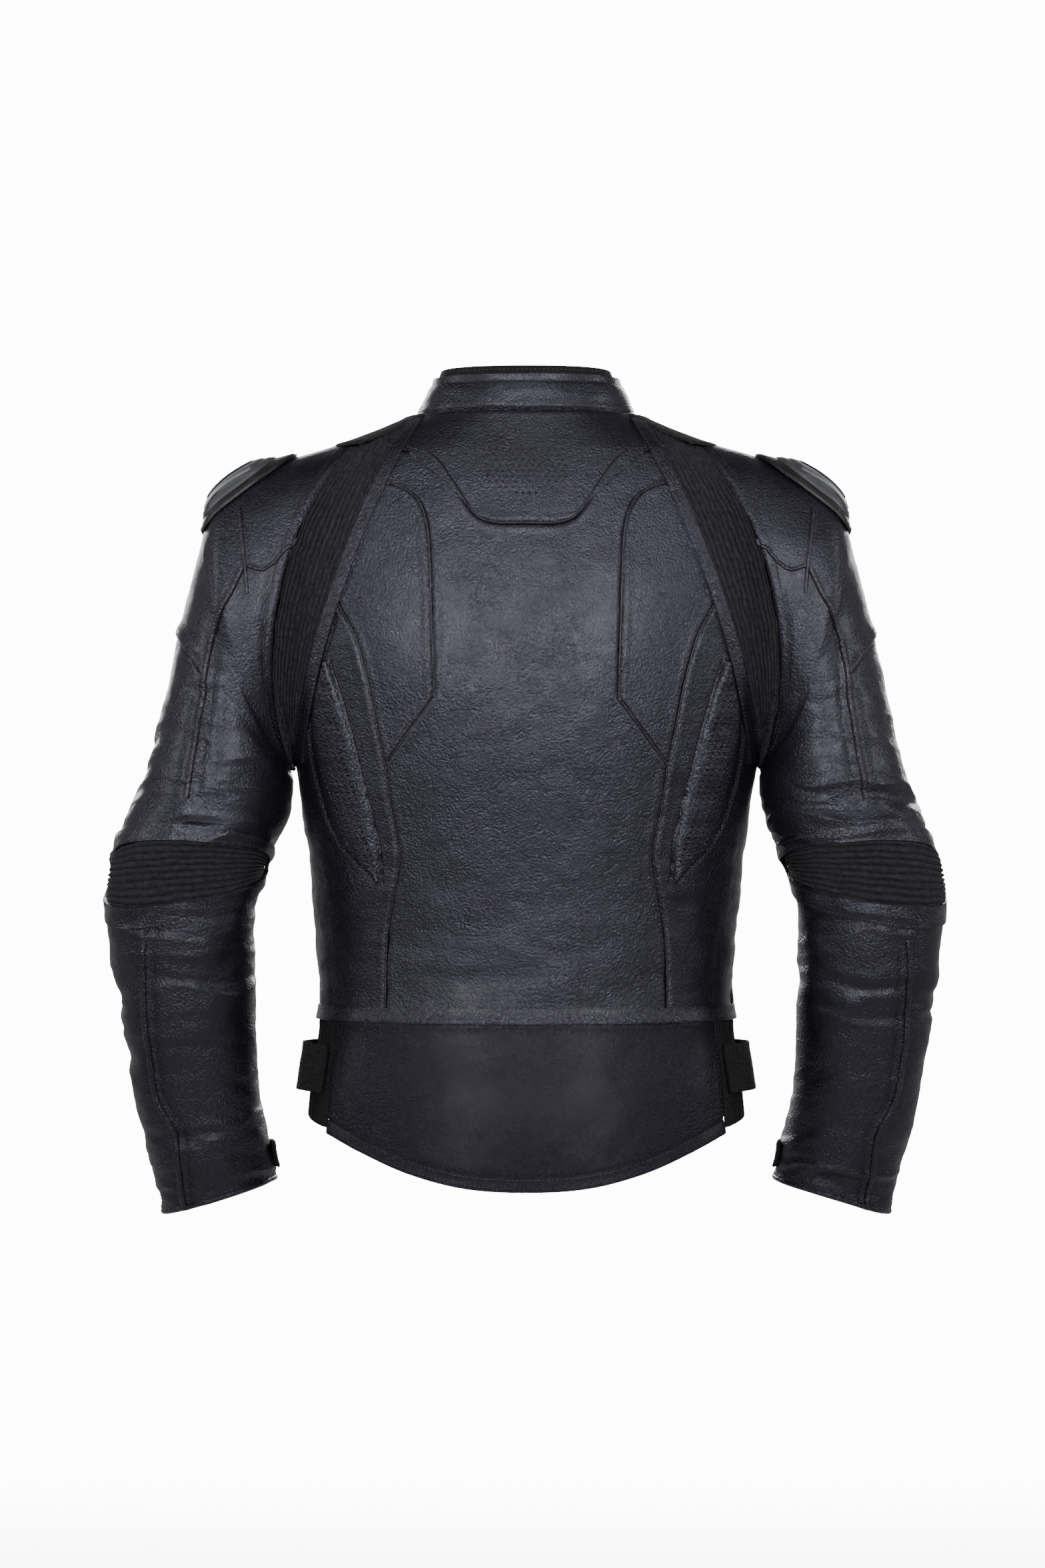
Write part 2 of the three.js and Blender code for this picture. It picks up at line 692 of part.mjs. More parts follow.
// The slider rides the left row only: a block with a channel for the teeth and a slot for the tape.
const sliderLeft = -(ZIP_GAP / 2 + TOOTH_WIDTH + SLIDER_PLAY + SLIDER_WALL);
const sliderRight = -ZIP_GAP / 2 + SLIDER_PLAY + SLIDER_WALL;
const sliderFoot = along(ZIP_BOTTOM) + 4;
const sliderHead = sliderFoot + SLIDER_LENGTH;
const sliderFace = ZIP_DEPTH - SLIDER_PLAY - SLIDER_WALL;
const sliderBlock = zipBlock(
  sliderLeft,
  sliderRight,
  sliderFoot,
  sliderHead,
  sliderFace,
  ZIP_DEPTH + TOOTH_DEPTH + SLIDER_PLAY + SLIDER_WALL,
)
  .subtract(
    zipBlock(
      -ZIP_GAP / 2 - TOOTH_WIDTH - SLIDER_PLAY,
      -ZIP_GAP / 2 + SLIDER_PLAY,
      sliderFoot - 1,
      sliderHead + 1,
      ZIP_DEPTH - SLIDER_PLAY,
      ZIP_DEPTH + TOOTH_DEPTH + SLIDER_PLAY,
    ),
  )
  .subtract(
    zipBlock(
      sliderLeft - 1,
      -ZIP_GAP / 2 - TOOTH_WIDTH,
      sliderFoot - 1,
      sliderHead + 1,
      tapeDepth - SLIDER_PLAY,
      tapeDepth + TAPE + SLIDER_PLAY,
    ),
  );
const BRIDGE = 4.5; // how far the slider's bridge stands off its face
const BRIDGE_LENGTH = 5;
const sliderMiddle = (sliderLeft + sliderRight) / 2;
const pinUp = sliderFoot + 12.5; // the pull turns about this height on the slider
const bridge = zipBlock(
  sliderMiddle - 1.2,
  sliderMiddle + 1.2,
  pinUp - BRIDGE_LENGTH / 2,
  pinUp + BRIDGE_LENGTH / 2,
  sliderFace - BRIDGE,
  sliderFace + 0.5,
);
add("zip_slider", sliderBlock.add(bridge), "metal");

// The pull is a forked plate that straddles the bridge and hangs plumb from it.
const PULL = 2;
const PULL_STAND = 1.9; // slider's face to the pull
const pin = new THREE.Vector3(sliderMiddle, -(sliderFace - PULL_STAND - PULL / 2), pinUp)
  .applyAxisAngle(new THREE.Vector3(1, 0, 0), ZIP_LEAN)
  .add(new THREE.Vector3(0, FRONT_TOP, 0));
const pullOutline = new THREE.Shape()
  .moveTo(-4, 2)
  .lineTo(-5, -PULL_LENGTH + 7)
  .absarc(0, -PULL_LENGTH + 7, 5, Math.PI, 2 * Math.PI, false)
  .lineTo(4, 2)
  .lineTo(1.6, 2)
  .lineTo(1.6, -3.6)
  .lineTo(-1.6, -3.6)
  .lineTo(-1.6, 2);
const pullPlate = new THREE.ExtrudeGeometry(pullOutline, {
  depth: PULL,
  bevelEnabled: false,
  curveSegments: 5,
});
pullPlate.rotateX(Math.PI / 2).translate(pin.x, pin.y + PULL / 2, pin.z);
add("zip_pull", solid(pullPlate), "metal");

// ---------------------------------------------------------------- hand pockets
const POCKET_TOP = new THREE.Vector2(wide(106), long(-335));
const POCKET_SLANT = THREE.MathUtils.degToRad(7);
const POCKET_STAND = 3.2; // how far the pocket's welt stands off the skin at its ends
const pocketFoot = POCKET_TOP.clone().add(
  new THREE.Vector2(Math.sin(POCKET_SLANT), -Math.cos(POCKET_SLANT)).multiplyScalar(POCKET_LENGTH),
);
const onFront = (p) => new THREE.Vector3(p.x, torsoY(p.x, p.y, true), p.y);
const pocketFrame = new THREE.Matrix4();
{
  const top = onFront(POCKET_TOP);
  const foot = onFront(pocketFoot);
  const up = top.clone().sub(foot).normalize();
  const beside = onFront(POCKET_TOP.clone().add(new THREE.Vector2(10, 0))).sub(top).normalize();
  const out = beside.clone().cross(up).negate().normalize();
  const side = out.clone().cross(up).normalize();
  pocketFrame.makeBasis(side, out, up).setPosition(foot);
}
function pocketBlock(width, z0, z1, stand0, stand1) {
  const geometry = new THREE.BoxGeometry(width, stand1 - stand0, z1 - z0);
  geometry.translate(0, (stand0 + stand1) / 2, (z0 + z1) / 2).applyMatrix4(pocketFrame);
  return solid(geometry);
}
addPair("pocket_zip", pocketBlock(POCKET_TAPE_WIDTH, 0, POCKET_LENGTH, POCKET_STAND, POCKET_STAND + 2), "knit");
const POCKET_SLIDER_LENGTH = 14;
const pocketSliderTop = POCKET_LENGTH - 6;
const pocketSliderBack = POCKET_STAND + 2 + SLIDER_PLAY;
const pocketSlider = pocketBlock(
  8,
  pocketSliderTop - POCKET_SLIDER_LENGTH,
  pocketSliderTop,
  pocketSliderBack,
  pocketSliderBack + 2.5,
).add(pocketBlock(5, pocketSliderTop - 34, pocketSliderTop - 6, pocketSliderBack + 2, pocketSliderBack + 4));
addPair("pocket_slider", pocketSlider, "metal");

// ---------------------------------------------------------------- waist adjusters
const STRAP_STAND = 2.5; // strap to skin
const STRAP_BULGE = 7; // how much further it stands off at the side
const strapZ = [-STRAP_DROP - STRAP_WIDTH / 2, -STRAP_DROP + STRAP_WIDTH / 2];
const strapBack = angleAt(TAIL_CORNER_HALF - 2, -STRAP_DROP, false);
const strapFront = angleAt(wide(134), -STRAP_DROP, true);
const stand = (angle) => STRAP_STAND + STRAP_BULGE * Math.exp(-(((angle - 85) / 14) ** 2));
const hipOut = (p) => new THREE.Vector3(p.x, p.y - deep(78), 0);
addPair(
  "rear_strap",
  wall(torso, {
    u: [strapBack, strapFront, 16],
    v: [...strapZ, 1],
    from: (angle) => -stand(angle) - STRAP,
    to: (angle) => -stand(angle),
    outward: hipOut,
  }),
  "hook_tape",
);
const TAB_STAND = 5.5;
const tabRoot = angleAt(wide(118), -STRAP_DROP, true);
const TAB_END = 115; // degrees round the body
addPair(
  "waist_tab",
  wall(torso, {
    u: [TAB_END, tabRoot, 6],
    v: [...strapZ, 1],
    from: -TAB_STAND - STRAP,
    to: -TAB_STAND,
    outward: hipOut,
  }),
  "hook_tape",
);

// ---------------------------------------------------------------- sleeves
// The middle of the sleeve at a ring, to tell its outside from its inside.
const sleeveMiddle = (at) => sleeve(0, at).add(sleeve(90, at)).add(sleeve(180, at)).add(sleeve(270, at)).multiplyScalar(0.25);
const middles = Array.from({ length: CUFF + 1 }, (_, i) => sleeveMiddle(i));
const awayFromArm = (p) => {
  const nearest = middles.reduce((a, b) => (a.distanceTo(p) < b.distanceTo(p) ? a : b));
  return p.clone().sub(nearest);
};
// A sleeve wall between two turns and two rings. A function of the turn may stand for the first ring.
function sleeveWall({ turns, rings, from, to, tube = false, outward = awayFromArm }) {
  const [start, end, rows] = rings;
  const startAt = typeof start === "function" ? start : () => start;
  const surface = (turn, t) => sleeve(turn, THREE.MathUtils.lerp(startAt(turn), end, t));
  return wall(surface, { u: turns, v: [0, 1, rows], from, to, tube, outward });
}
// Near the armpit the first rings almost meet, so a wall starts further round the fan there.
const armpit = (turn) => Math.max(0, -Math.cos(THREE.MathUtils.degToRad(turn))) ** 12;
const stretchStart = (turn) => 0.03 + 0.26 * armpit(turn);
const stretchEnd = (turn) => STRETCH_END - 0.05 - 0.1 * armpit(turn);
const stretchWall = (from, to, count) =>
  wall(
    (turn, t) => sleeve(turn, THREE.MathUtils.lerp(stretchStart(turn), stretchEnd(turn), t)),
    { u: [from, to, count], v: [0, 1, 1], from: 0, to: KNIT, outward: awayFromArm },
  );
const KNIT_BACK = 24; // the knit over the shoulder ends at this turn, and the ribbed strip starts
addPair("rear_stretch", stretchWall(KNIT_BACK + 0.5, 179.5, 12), "knit");
addPair("shoulder_knit", stretchWall(-179.5, KNIT_BACK - 0.5, 15), "knit");

const RING_GAP = 0.03;
const ROUND = 16; // faces round a sleeve wall
const panelStart = (turn) => STRETCH_END + 0.05 + 0.3 * armpit(turn);
addPair(
  "shoulder_panel",
  sleeveWall({
    turns: [0, 360, ROUND],
    rings: [panelStart, BICEPS - RING_GAP, 6],
    from: 0,
    to: LEATHER,
    tube: true,
  }),
  "leather",
);
const sleeveTube = (rings, from = 0, to = LEATHER, count = ROUND) =>
  sleeveWall({ turns: [0, 360, count], rings, from, to, tube: true });
addPair("upper_sleeve", sleeveTube([BICEPS + RING_GAP, ELBOW_TOP - RING_GAP, 3]), "leather");
addPair("lower_sleeve", sleeveTube([ELBOW_BOTTOM + RING_GAP, CUFF, 5]), "leather");

const ELBOW_EDGE = 14; // the ribbed elbow panel runs from this turn round the back
const elbowWall = (from, to, count, thick) =>
  sleeveWall({ turns: [from, to, count], rings: [ELBOW_TOP + RING_GAP, ELBOW_BOTTOM - RING_GAP, 3], from: 0, to: thick });
addPair("elbow_stretch", elbowWall(ELBOW_EDGE + 0.4, 180 - ELBOW_EDGE - 0.4, 8, KNIT), "knit");
addPair("elbow_inner", elbowWall(180 - ELBOW_EDGE + 0.4, 360 + ELBOW_EDGE - 0.4, 10, LEATHER), "leather");

const liningTube = (rings) => sleeveTube(rings, LINING_DEPTH, LINING_DEPTH + LINING, 14);
addPair("lining_upper_sleeve", liningTube([STRETCH_END + 0.4, ELBOW_TOP - 0.05, 7]), "lining");
addPair("lining_lower_sleeve", liningTube([ELBOW_BOTTOM + 0.05, CUFF - 0.2, 5]), "lining");

addPair(
  "elbow_protector",
  sleeveWall({
    turns: [48, 132, 6],
    rings: [ELBOW_BOTTOM + 0.1, ELBOW_BOTTOM + 2.2, 3],
    from: BEHIND_LINING,
    to: BEHIND_LINING + PROTECTOR,
  }),
  "foam",
);

// ---------------------------------------------------------------- shoulder cups, sewn on over the shoulder panel
const CUP_LIFT = 1.6; // cup to leather
const cup = (turns, rings, lift, thick) =>
  sleeveWall({ turns, rings, from: -lift - thick, to: -lift });
addPair("cup_base", cup([-36, 30, 8], [2.25, 5.3, 5], CUP_LIFT, CUP_BASE), "armour");
addPair("cup_shell", cup([-29, 23, 7], [2.6, 4.95, 5], CUP_LIFT + CUP_BASE + 1, CUP_SHELL), "armour");

// ---------------------------------------------------------------- cuff tabs
const CUFF_TAB_STAND = 0.8;
addPair(
  "cuff_tab",
  sleeveWall({ turns: [166, 236, 6], rings: [16.85, 17.6, 1], from: -CUFF_TAB_STAND - STRAP, to: -CUFF_TAB_STAND }),
  "hook_tape",
);

export default jacket;
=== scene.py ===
import math

import bmesh
import bpy
import numpy as np
from mathutils import Matrix, Vector, noise
from mathutils.bvhtree import BVHTree


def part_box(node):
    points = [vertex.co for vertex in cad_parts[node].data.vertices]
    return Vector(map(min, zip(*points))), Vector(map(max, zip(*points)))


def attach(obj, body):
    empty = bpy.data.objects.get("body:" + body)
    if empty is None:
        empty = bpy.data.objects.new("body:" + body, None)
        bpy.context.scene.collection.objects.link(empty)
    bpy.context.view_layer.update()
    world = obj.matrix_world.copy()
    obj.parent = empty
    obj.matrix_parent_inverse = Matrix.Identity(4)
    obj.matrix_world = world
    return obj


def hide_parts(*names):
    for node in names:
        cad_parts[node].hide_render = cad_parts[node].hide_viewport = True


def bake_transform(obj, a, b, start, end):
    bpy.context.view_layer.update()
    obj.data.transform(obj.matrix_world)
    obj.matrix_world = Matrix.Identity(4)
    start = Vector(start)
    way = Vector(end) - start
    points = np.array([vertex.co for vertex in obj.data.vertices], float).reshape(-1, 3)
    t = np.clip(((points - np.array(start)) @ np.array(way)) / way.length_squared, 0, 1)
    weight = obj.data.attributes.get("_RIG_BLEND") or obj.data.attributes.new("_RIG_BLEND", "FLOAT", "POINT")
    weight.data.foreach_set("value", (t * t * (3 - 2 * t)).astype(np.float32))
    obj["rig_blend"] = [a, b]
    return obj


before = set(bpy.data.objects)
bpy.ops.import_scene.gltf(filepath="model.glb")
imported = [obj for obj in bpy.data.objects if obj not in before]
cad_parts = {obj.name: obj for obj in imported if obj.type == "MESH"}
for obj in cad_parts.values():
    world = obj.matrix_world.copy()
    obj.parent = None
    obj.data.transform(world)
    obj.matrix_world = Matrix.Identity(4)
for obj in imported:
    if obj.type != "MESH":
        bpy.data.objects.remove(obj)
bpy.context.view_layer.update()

MM = 0.001

# ---- The studio
# White paper on the floor sweeps up into a backdrop that glows to the eye alone, so it lights nothing. Two
# softboxes light the back, one hangs over it, strips stand at the sides, and two more light the chest. The
# camera stands level behind the jacket, square to its back.
def wired(tree, kind, inputs=(), **settings):
    """A node with its settings, its values and its links."""
    node = tree.nodes.new(kind)
    for key, value in settings.items():
        setattr(node, key, value)
    for key, value in dict(inputs).items():
        if isinstance(value, bpy.types.NodeSocket):
            tree.links.new(value, node.inputs[key])
        else:
            node.inputs[key].default_value = value
    return node


bm = bmesh.new()
bmesh.ops.create_grid(bm, x_segments=2, y_segments=2, size=7)
bmesh.ops.translate(bm, verts=bm.verts, vec=(0, -1.0, -1.25))
rear = [e for e in bm.edges if all(v.co.y > 5.9 for v in e.verts)]
raised = bmesh.ops.extrude_edge_only(bm, edges=rear)["geom"]
bmesh.ops.translate(bm, verts=[part for part in raised if isinstance(part, bmesh.types.BMVert)],
                    vec=(0, 0.001, 6))
bmesh.ops.bevel(bm, geom=rear, offset=1.6, segments=14, profile=0.5, affect="EDGES", material=-1)
sweep_mesh = bpy.data.meshes.new("studio_sweep")
bm.to_mesh(sweep_mesh)
bm.free()
sweep_mesh.shade_smooth()
sweep = bpy.data.objects.new("studio_sweep", sweep_mesh)
bpy.context.scene.collection.objects.link(sweep)
paper = bpy.data.materials.new("studio_paper")
paper.use_nodes = True
tree = paper.node_tree
surface = tree.nodes["Principled BSDF"]
surface.inputs["Base Color"].default_value = (0.86, 0.86, 0.86, 1)
surface.inputs["Roughness"].default_value = 0.95
surface.inputs["Emission Color"].default_value = (1, 1, 1, 1)
where = wired(tree, "ShaderNodeTexCoord").outputs["Object"]
split = wired(tree, "ShaderNodeSeparateXYZ", {0: where})
glow = wired(tree, "ShaderNodeMapRange", {"Value": split.outputs["Y"], "From Min": 0.9, "From Max": 2.4,
                                          "To Min": 1.8, "To Max": 13.0})
seen = wired(tree, "ShaderNodeLightPath").outputs["Is Camera Ray"]
shown = wired(tree, "ShaderNodeMapRange", {"Value": seen, "To Min": 0.023})
bright = wired(tree, "ShaderNodeMath", {0: glow.outputs[0], 1: shown.outputs[0]}, operation="MULTIPLY")
tree.links.new(bright.outputs[0], surface.inputs["Emission Strength"])
sweep_mesh.materials.append(paper)

world = bpy.data.worlds.new("studio_air")
world.use_nodes = True
sky = world.node_tree.nodes["Background"]
sky.inputs["Color"].default_value = (1, 1, 1, 1)
seen = wired(world.node_tree, "ShaderNodeLightPath").outputs["Is Camera Ray"]
level = wired(world.node_tree, "ShaderNodeMapRange", {"Value": seen, "To Min": 0.05, "To Max": 1.4})
world.node_tree.links.new(level.outputs[0], sky.inputs["Strength"])
bpy.context.scene.world = world

aim = Vector((0, 0, -0.12))
for title, place, size, power, spread in (
    ("softbox_left", (-0.8, -2.9, 0.3), (1.0, 1.0), 1.9, 19),
    ("softbox_right", (0.8, -2.9, 0.3), (1.0, 1.0), 1.9, 19),
    ("softbox_top", (0, -1.3, 1.9), (1.4, 0.7), 2.7, 90),
    ("strip_left", (-2.3, -0.4, 0.5), (0.4, 1.4), 5.5, 90),
    ("strip_right", (2.3, -0.4, 0.5), (0.4, 1.4), 5.5, 90),
    ("softbox_chest_left", (-0.9, 3.2, 0.5), (1.2, 1.2), 14, 90),
    ("softbox_chest_right", (0.9, 3.2, 0.5), (1.2, 1.2), 14, 90),
):
    lamp = bpy.data.lights.new(title, "AREA")
    lamp.shape, lamp.size, lamp.size_y, lamp.energy = "RECTANGLE", *size, power
    lamp.spread = math.radians(spread)
    holder = bpy.data.objects.new(title, lamp)
    holder.matrix_world = (
        Matrix.Translation(place) @ (aim - Vector(place)).to_track_quat("-Z", "Y").to_matrix().to_4x4()
    )
    bpy.context.scene.collection.objects.link(holder)

CAMERA_AWAY, VIEW_HALF_HEIGHT = 3.5, 0.635
camera_data = bpy.data.cameras.new("studio_camera")
camera_data.sensor_fit = "VERTICAL"
camera_data.angle = 2 * math.atan(VIEW_HALF_HEIGHT / CAMERA_AWAY)
camera = bpy.data.objects.new("studio_camera", camera_data)
camera.location = (-0.003, -CAMERA_AWAY, -0.304)
camera.rotation_euler = (math.pi / 2, 0, 0)
bpy.context.scene.collection.objects.link(camera)
bpy.context.scene.camera = camera

# ---- The worn shape of the body
# Leather is cut flat, but the jacket keeps the shape of the body in it: a trunk with an oval section at
# each height, taken to the sizes of the frame. Everything on the trunk is laid on this form.
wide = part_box("side_back_right")[1].x / 0.190
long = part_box("tail_panel")[0].z / -0.632
deep = (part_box("front_panel_right")[1].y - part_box("back_centre")[0].y) / 0.241
TRUNK = [  # height, half width, back
    (0, 90, 0), (-20, 137, -10), (-35, 178, -18), (-60, 204, -28), (-100, 212, -38), (-150, 214, -46),
    (-200, 208, -49), (-250, 198, -47), (-288, 190, -43), (-350, 181, -33), (-420, 174, -24),
    (-495, 172, -22), (-560, 180, -31), (-640, 187, -37),
]
OVAL = 2.3


def smooth_rows(rows, at):
    """A smooth curve through rows of numbers, each standing at its first number."""
    rows = np.array(rows, float)
    if rows[0, 0] > rows[-1, 0]:
        rows = rows[::-1]
    place, value = rows[:, 0], rows[:, 1:]
    slope = np.empty_like(value)
    slope[1:-1] = (value[2:] - value[:-2]) / (place[2:] - place[:-2])[:, None]
    slope[0] = (value[1] - value[0]) / (place[1] - place[0])
    slope[-1] = (value[-1] - value[-2]) / (place[-1] - place[-2])
    at = np.atleast_1d(np.asarray(at, float))
    i = np.clip(np.searchsorted(place, at) - 1, 0, len(place) - 2)
    span = place[i + 1] - place[i]
    t = ((at - place[i]) / span)[:, None]
    span = span[:, None]
    return (
        value[i] * (2 * t**3 - 3 * t**2 + 1)
        + slope[i] * span * (t**3 - 2 * t**2 + t)
        + value[i + 1] * (3 * t**2 - 2 * t**3)
        + slope[i + 1] * span * (t**3 - t**2)
    )


trunk_rows = [(z * MM * long, half * MM * wide, back * MM * deep) for z, half, back in TRUNK]
trunk_z = np.linspace(trunk_rows[-1][0] - 0.02, 0.02, 1400)
trunk_half, trunk_back = smooth_rows(trunk_rows, np.clip(trunk_z, trunk_rows[-1][0], 0)).T


def trunk_oval(z):
    """Half width, middle and half depth of the trunk at heights z."""
    half = np.interp(z, trunk_z, trunk_half)
    back = np.interp(z, trunk_z, trunk_back)
    front = deep * (0.144 - z / long * 48 / 560)
    return half, (front + back) / 2, (front - back) / 2


def on_trunk(turn, z):
    """The trunk's skin: turn 0 is the centre back, 90 the wearer's right side, 180 the centre front."""
    half, middle, depth = trunk_oval(z)
    a = np.radians(turn)
    s, c = np.sin(a), np.cos(a)
    x = half * np.sign(s) * np.abs(s) ** (2 / OVAL)
    y = middle - depth * np.sign(c) * np.abs(c) ** (2 / OVAL)
    return np.stack([x, y, z + 0 * x], -1)


def trunk_y(x, z, front=False):
    half, middle, depth = trunk_oval(z)
    reach = depth * (1 - np.minimum(np.abs(x) / half, 1) ** OVAL) ** (1 / OVAL)
    return np.where(front, middle + reach, middle - reach)


def trunk_turn(x, z, front=False):
    half = trunk_oval(z)[0]
    a = np.degrees(np.arcsin(np.minimum(np.abs(x) / half, 1) ** (OVAL / 2)))
    return np.sign(x) * np.where(front, 180 - a, a)


def seam_line(points, count=60, front=False, smooth=True):
    """A seam through its points in x and z millimetres, as turns and heights on the trunk."""
    p = np.array(points, float) * MM * (wide, long)
    step = np.r_[0, np.cumsum(np.hypot(*np.diff(p, axis=0).T))]
    at = np.linspace(0, step[-1], count)
    if smooth:
        line = smooth_rows(np.c_[step, p], at)
    else:
        line = np.c_[np.interp(at, step, p[:, 0]), np.interp(at, step, p[:, 1])]
    return np.stack([trunk_turn(line[:, 0], line[:, 1], front), line[:, 1]], -1)


def joined(*lines):
    """Lines end to end, with their points spread evenly."""
    line = np.concatenate([l if k == 0 else l[1:] for k, l in enumerate(lines)])
    p = on_trunk(line[:, 0], line[:, 1])
    step = np.r_[0, np.cumsum(np.linalg.norm(np.diff(p, axis=0), axis=1))]
    at = np.linspace(0, step[-1], 160)
    return np.stack([np.interp(at, step, line[:, k]) for k in (0, 1)], -1)


# ---- The black leather
# Full-grain cowhide about a millimetre and a half thick: pebbled, with fine creases, a soft cool sheen and
# a little wear where it rubs. All panels are cut from it.
def ramp(tree, fac, stops):
    node = wired(tree, "ShaderNodeValToRGB", {"Fac": fac})
    while len(node.color_ramp.elements) < len(stops):
        node.color_ramp.elements.new(0.5)
    for element, (place, value) in zip(node.color_ramp.elements, stops):
        element.position = place
        element.color = (*value, 1) if isinstance(value, tuple) else (value, value, value, 1)
    return node


def leather(name, tone=(0.0082, 0.0078, 0.0112), pebble=600, rough=0.40, shine=0.50, holes=False):
    material = bpy.data.materials.new(name)
    material.use_nodes = True
    tree = material.node_tree
    surface = tree.nodes["Principled BSDF"]
    where = wired(tree, "ShaderNodeTexCoord").outputs["Object"]
    cells = wired(tree, "ShaderNodeTexVoronoi", {"Vector": where, "Scale": pebble, "Randomness": 0.9},
                  feature="SMOOTH_F1")
    big = wired(tree, "ShaderNodeTexNoise", {"Vector": where, "Scale": 11, "Detail": 4, "Roughness": 0.6})
    mid = wired(tree, "ShaderNodeTexNoise", {"Vector": where, "Scale": 75, "Detail": 5, "Roughness": 0.62})
    fine = wired(tree, "ShaderNodeTexNoise", {"Vector": where, "Scale": 1500, "Detail": 3, "Roughness": 0.6})
    creases = wired(tree, "ShaderNodeTexVoronoi", {"Vector": mid.outputs["Color"], "Scale": 7},
                    feature="DISTANCE_TO_EDGE")
    crease = ramp(tree, creases.outputs["Distance"], [(0, 0.0), (0.09, 1.0)])
    # grain is coarser where the hide is looser
    loose = ramp(tree, big.outputs["Fac"], [(0.36, 0.45), (0.66, 1.0)])
    grain = wired(tree, "ShaderNodeMath", {0: cells.outputs["Distance"], 1: loose.outputs["Color"]},
                  operation="MULTIPLY")
    colour = ramp(tree, big.outputs["Fac"], [
        (0.30, tuple(0.72 * c for c in tone)), (0.52, tone), (0.74, tuple(1.35 * c for c in tone))])
    # The grain's valleys, where its bump is lowest, are painted darker: painted shade in the grain.
    grain_valley_shade = ramp(tree, cells.outputs["Distance"], [(0.25, 1.0), (0.75, 0.62)])
    shaded = wired(tree, "ShaderNodeMix", {0: 1.0, 6: colour.outputs["Color"], 7: grain_valley_shade.outputs["Color"]},
                   data_type="RGBA", blend_type="MULTIPLY")
    base = shaded.outputs[2]
    height = wired(tree, "ShaderNodeMath", {0: grain.outputs[0], 1: -1.0}, operation="MULTIPLY").outputs[0]
    if holes:
        mask = wired(tree, "ShaderNodeAttribute", attribute_name="perforated").outputs["Fac"]
        grid = wired(tree, "ShaderNodeAttribute", attribute_name="punch").outputs["Vector"]
        split = wired(tree, "ShaderNodeSeparateXYZ", {0: grid})
        row = wired(tree, "ShaderNodeMath", {0: split.outputs[1]}, operation="FLOOR")
        shift = wired(tree, "ShaderNodeMath", {0: row.outputs[0], 1: 0.5, 2: split.outputs[0]},
                      operation="MULTIPLY_ADD")
        fx = wired(tree, "ShaderNodeMath", {0: shift.outputs[0]}, operation="FRACT")
        fy = wired(tree, "ShaderNodeMath", {0: split.outputs[1]}, operation="FRACT")
        spot = wired(tree, "ShaderNodeCombineXYZ", {0: fx.outputs[0], 1: fy.outputs[0], 2: 0.0})
        away = wired(tree, "ShaderNodeVectorMath", {0: spot.outputs[0], 1: (0.5, 0.5, 0)},
                     operation="DISTANCE")
        disc = ramp(tree, away.outputs["Value"], [(0.15, 1.0), (0.22, 0.0)])
        punched = wired(tree, "ShaderNodeMath", {0: disc.outputs["Color"], 1: mask}, operation="MULTIPLY")
        # Each hole is painted near black: partly the dark layer behind the hole, partly painted shade inside
        # it.
        base = wired(tree, "ShaderNodeMix", {0: punched.outputs[0], 6: base, 7: (0.001, 0.001, 0.001, 1)},
                     data_type="RGBA").outputs[2]
        height = wired(tree, "ShaderNodeMath", {0: punched.outputs[0], 1: -4.0, 2: height},
                       operation="MULTIPLY_ADD").outputs[0]
    tree.links.new(base, surface.inputs["Base Color"])
    worn = ramp(tree, mid.outputs["Fac"], [(0.3, rough - 0.07), (0.7, rough + 0.10)])
    tree.links.new(worn.outputs["Color"], surface.inputs["Roughness"])
    surface.inputs["Specular IOR Level"].default_value = shine
    surface.inputs["Specular Tint"].default_value = (0.80, 0.78, 1.0, 1)
    surface.inputs["Coat Weight"].default_value = 0.16 * shine
    surface.inputs["Coat Roughness"].default_value = 0.28
    bump_fine = wired(tree, "ShaderNodeBump",
                      {"Height": fine.outputs["Fac"], "Strength": 0.12, "Distance": 0.0004})
    bump_grain = wired(tree, "ShaderNodeBump", {"Height": height, "Strength": 1.0, "Distance": 0.0011,
                                                "Normal": bump_fine.outputs[0]})
    bump_crease = wired(tree, "ShaderNodeBump", {"Height": crease.outputs["Color"], "Strength": 0.16,
                                                 "Distance": 0.0008, "Normal": bump_grain.outputs[0]})
    bump_hide = wired(tree, "ShaderNodeBump", {"Height": mid.outputs["Fac"], "Strength": 0.36,
                                               "Distance": 0.0024, "Normal": bump_crease.outputs[0]})
    tree.links.new(bump_hide.outputs[0], surface.inputs["Normal"])
    return material


hide = leather("black_leather")
hide_punched = leather("punched_leather", holes=True)
hide_edge = leather("leather_edge", tone=(0.0098, 0.0093, 0.0128), rough=0.34)

# ---- Laying a panel on the form
# A sewn panel turns down into its seams, stands a little proud beside them, and lifts into soft folds where
# the body bends. Each is one sheet laid on the form, then given the hide's thickness inwards.
sewn = {}


def steps_of(form, a, b):
    """Points and outward directions of a form at its two numbers."""
    p = form(a, b)
    da, db = 0.05, 0.0004 if form is on_trunk else 0.004
    n = np.cross(form(a + da, b) - form(a - da, b), form(a, b + db) - form(a, b - db))
    n /= np.linalg.norm(n, axis=-1, keepdims=True) + 1e-12
    return p, n


def bell(distance, width):
    """1 at no distance, fading smoothly to nothing at about twice the width."""
    return np.exp(-((distance / width) ** 2))


def ripple(p, scale, stretch=(1, 1, 1), seed=0.0, rounds=2):
    """Soft uneven waves between about -1 and 1, longer along the axes with a small stretch."""
    flat = p.reshape(-1, 3) * np.array(stretch) * scale
    out = [noise.fractal(Vector((x + seed, y + 3.7 * seed, z - seed)), 0.9, 2.1, rounds) for x, y, z in flat]
    return np.array(out).reshape(p.shape[:-1])


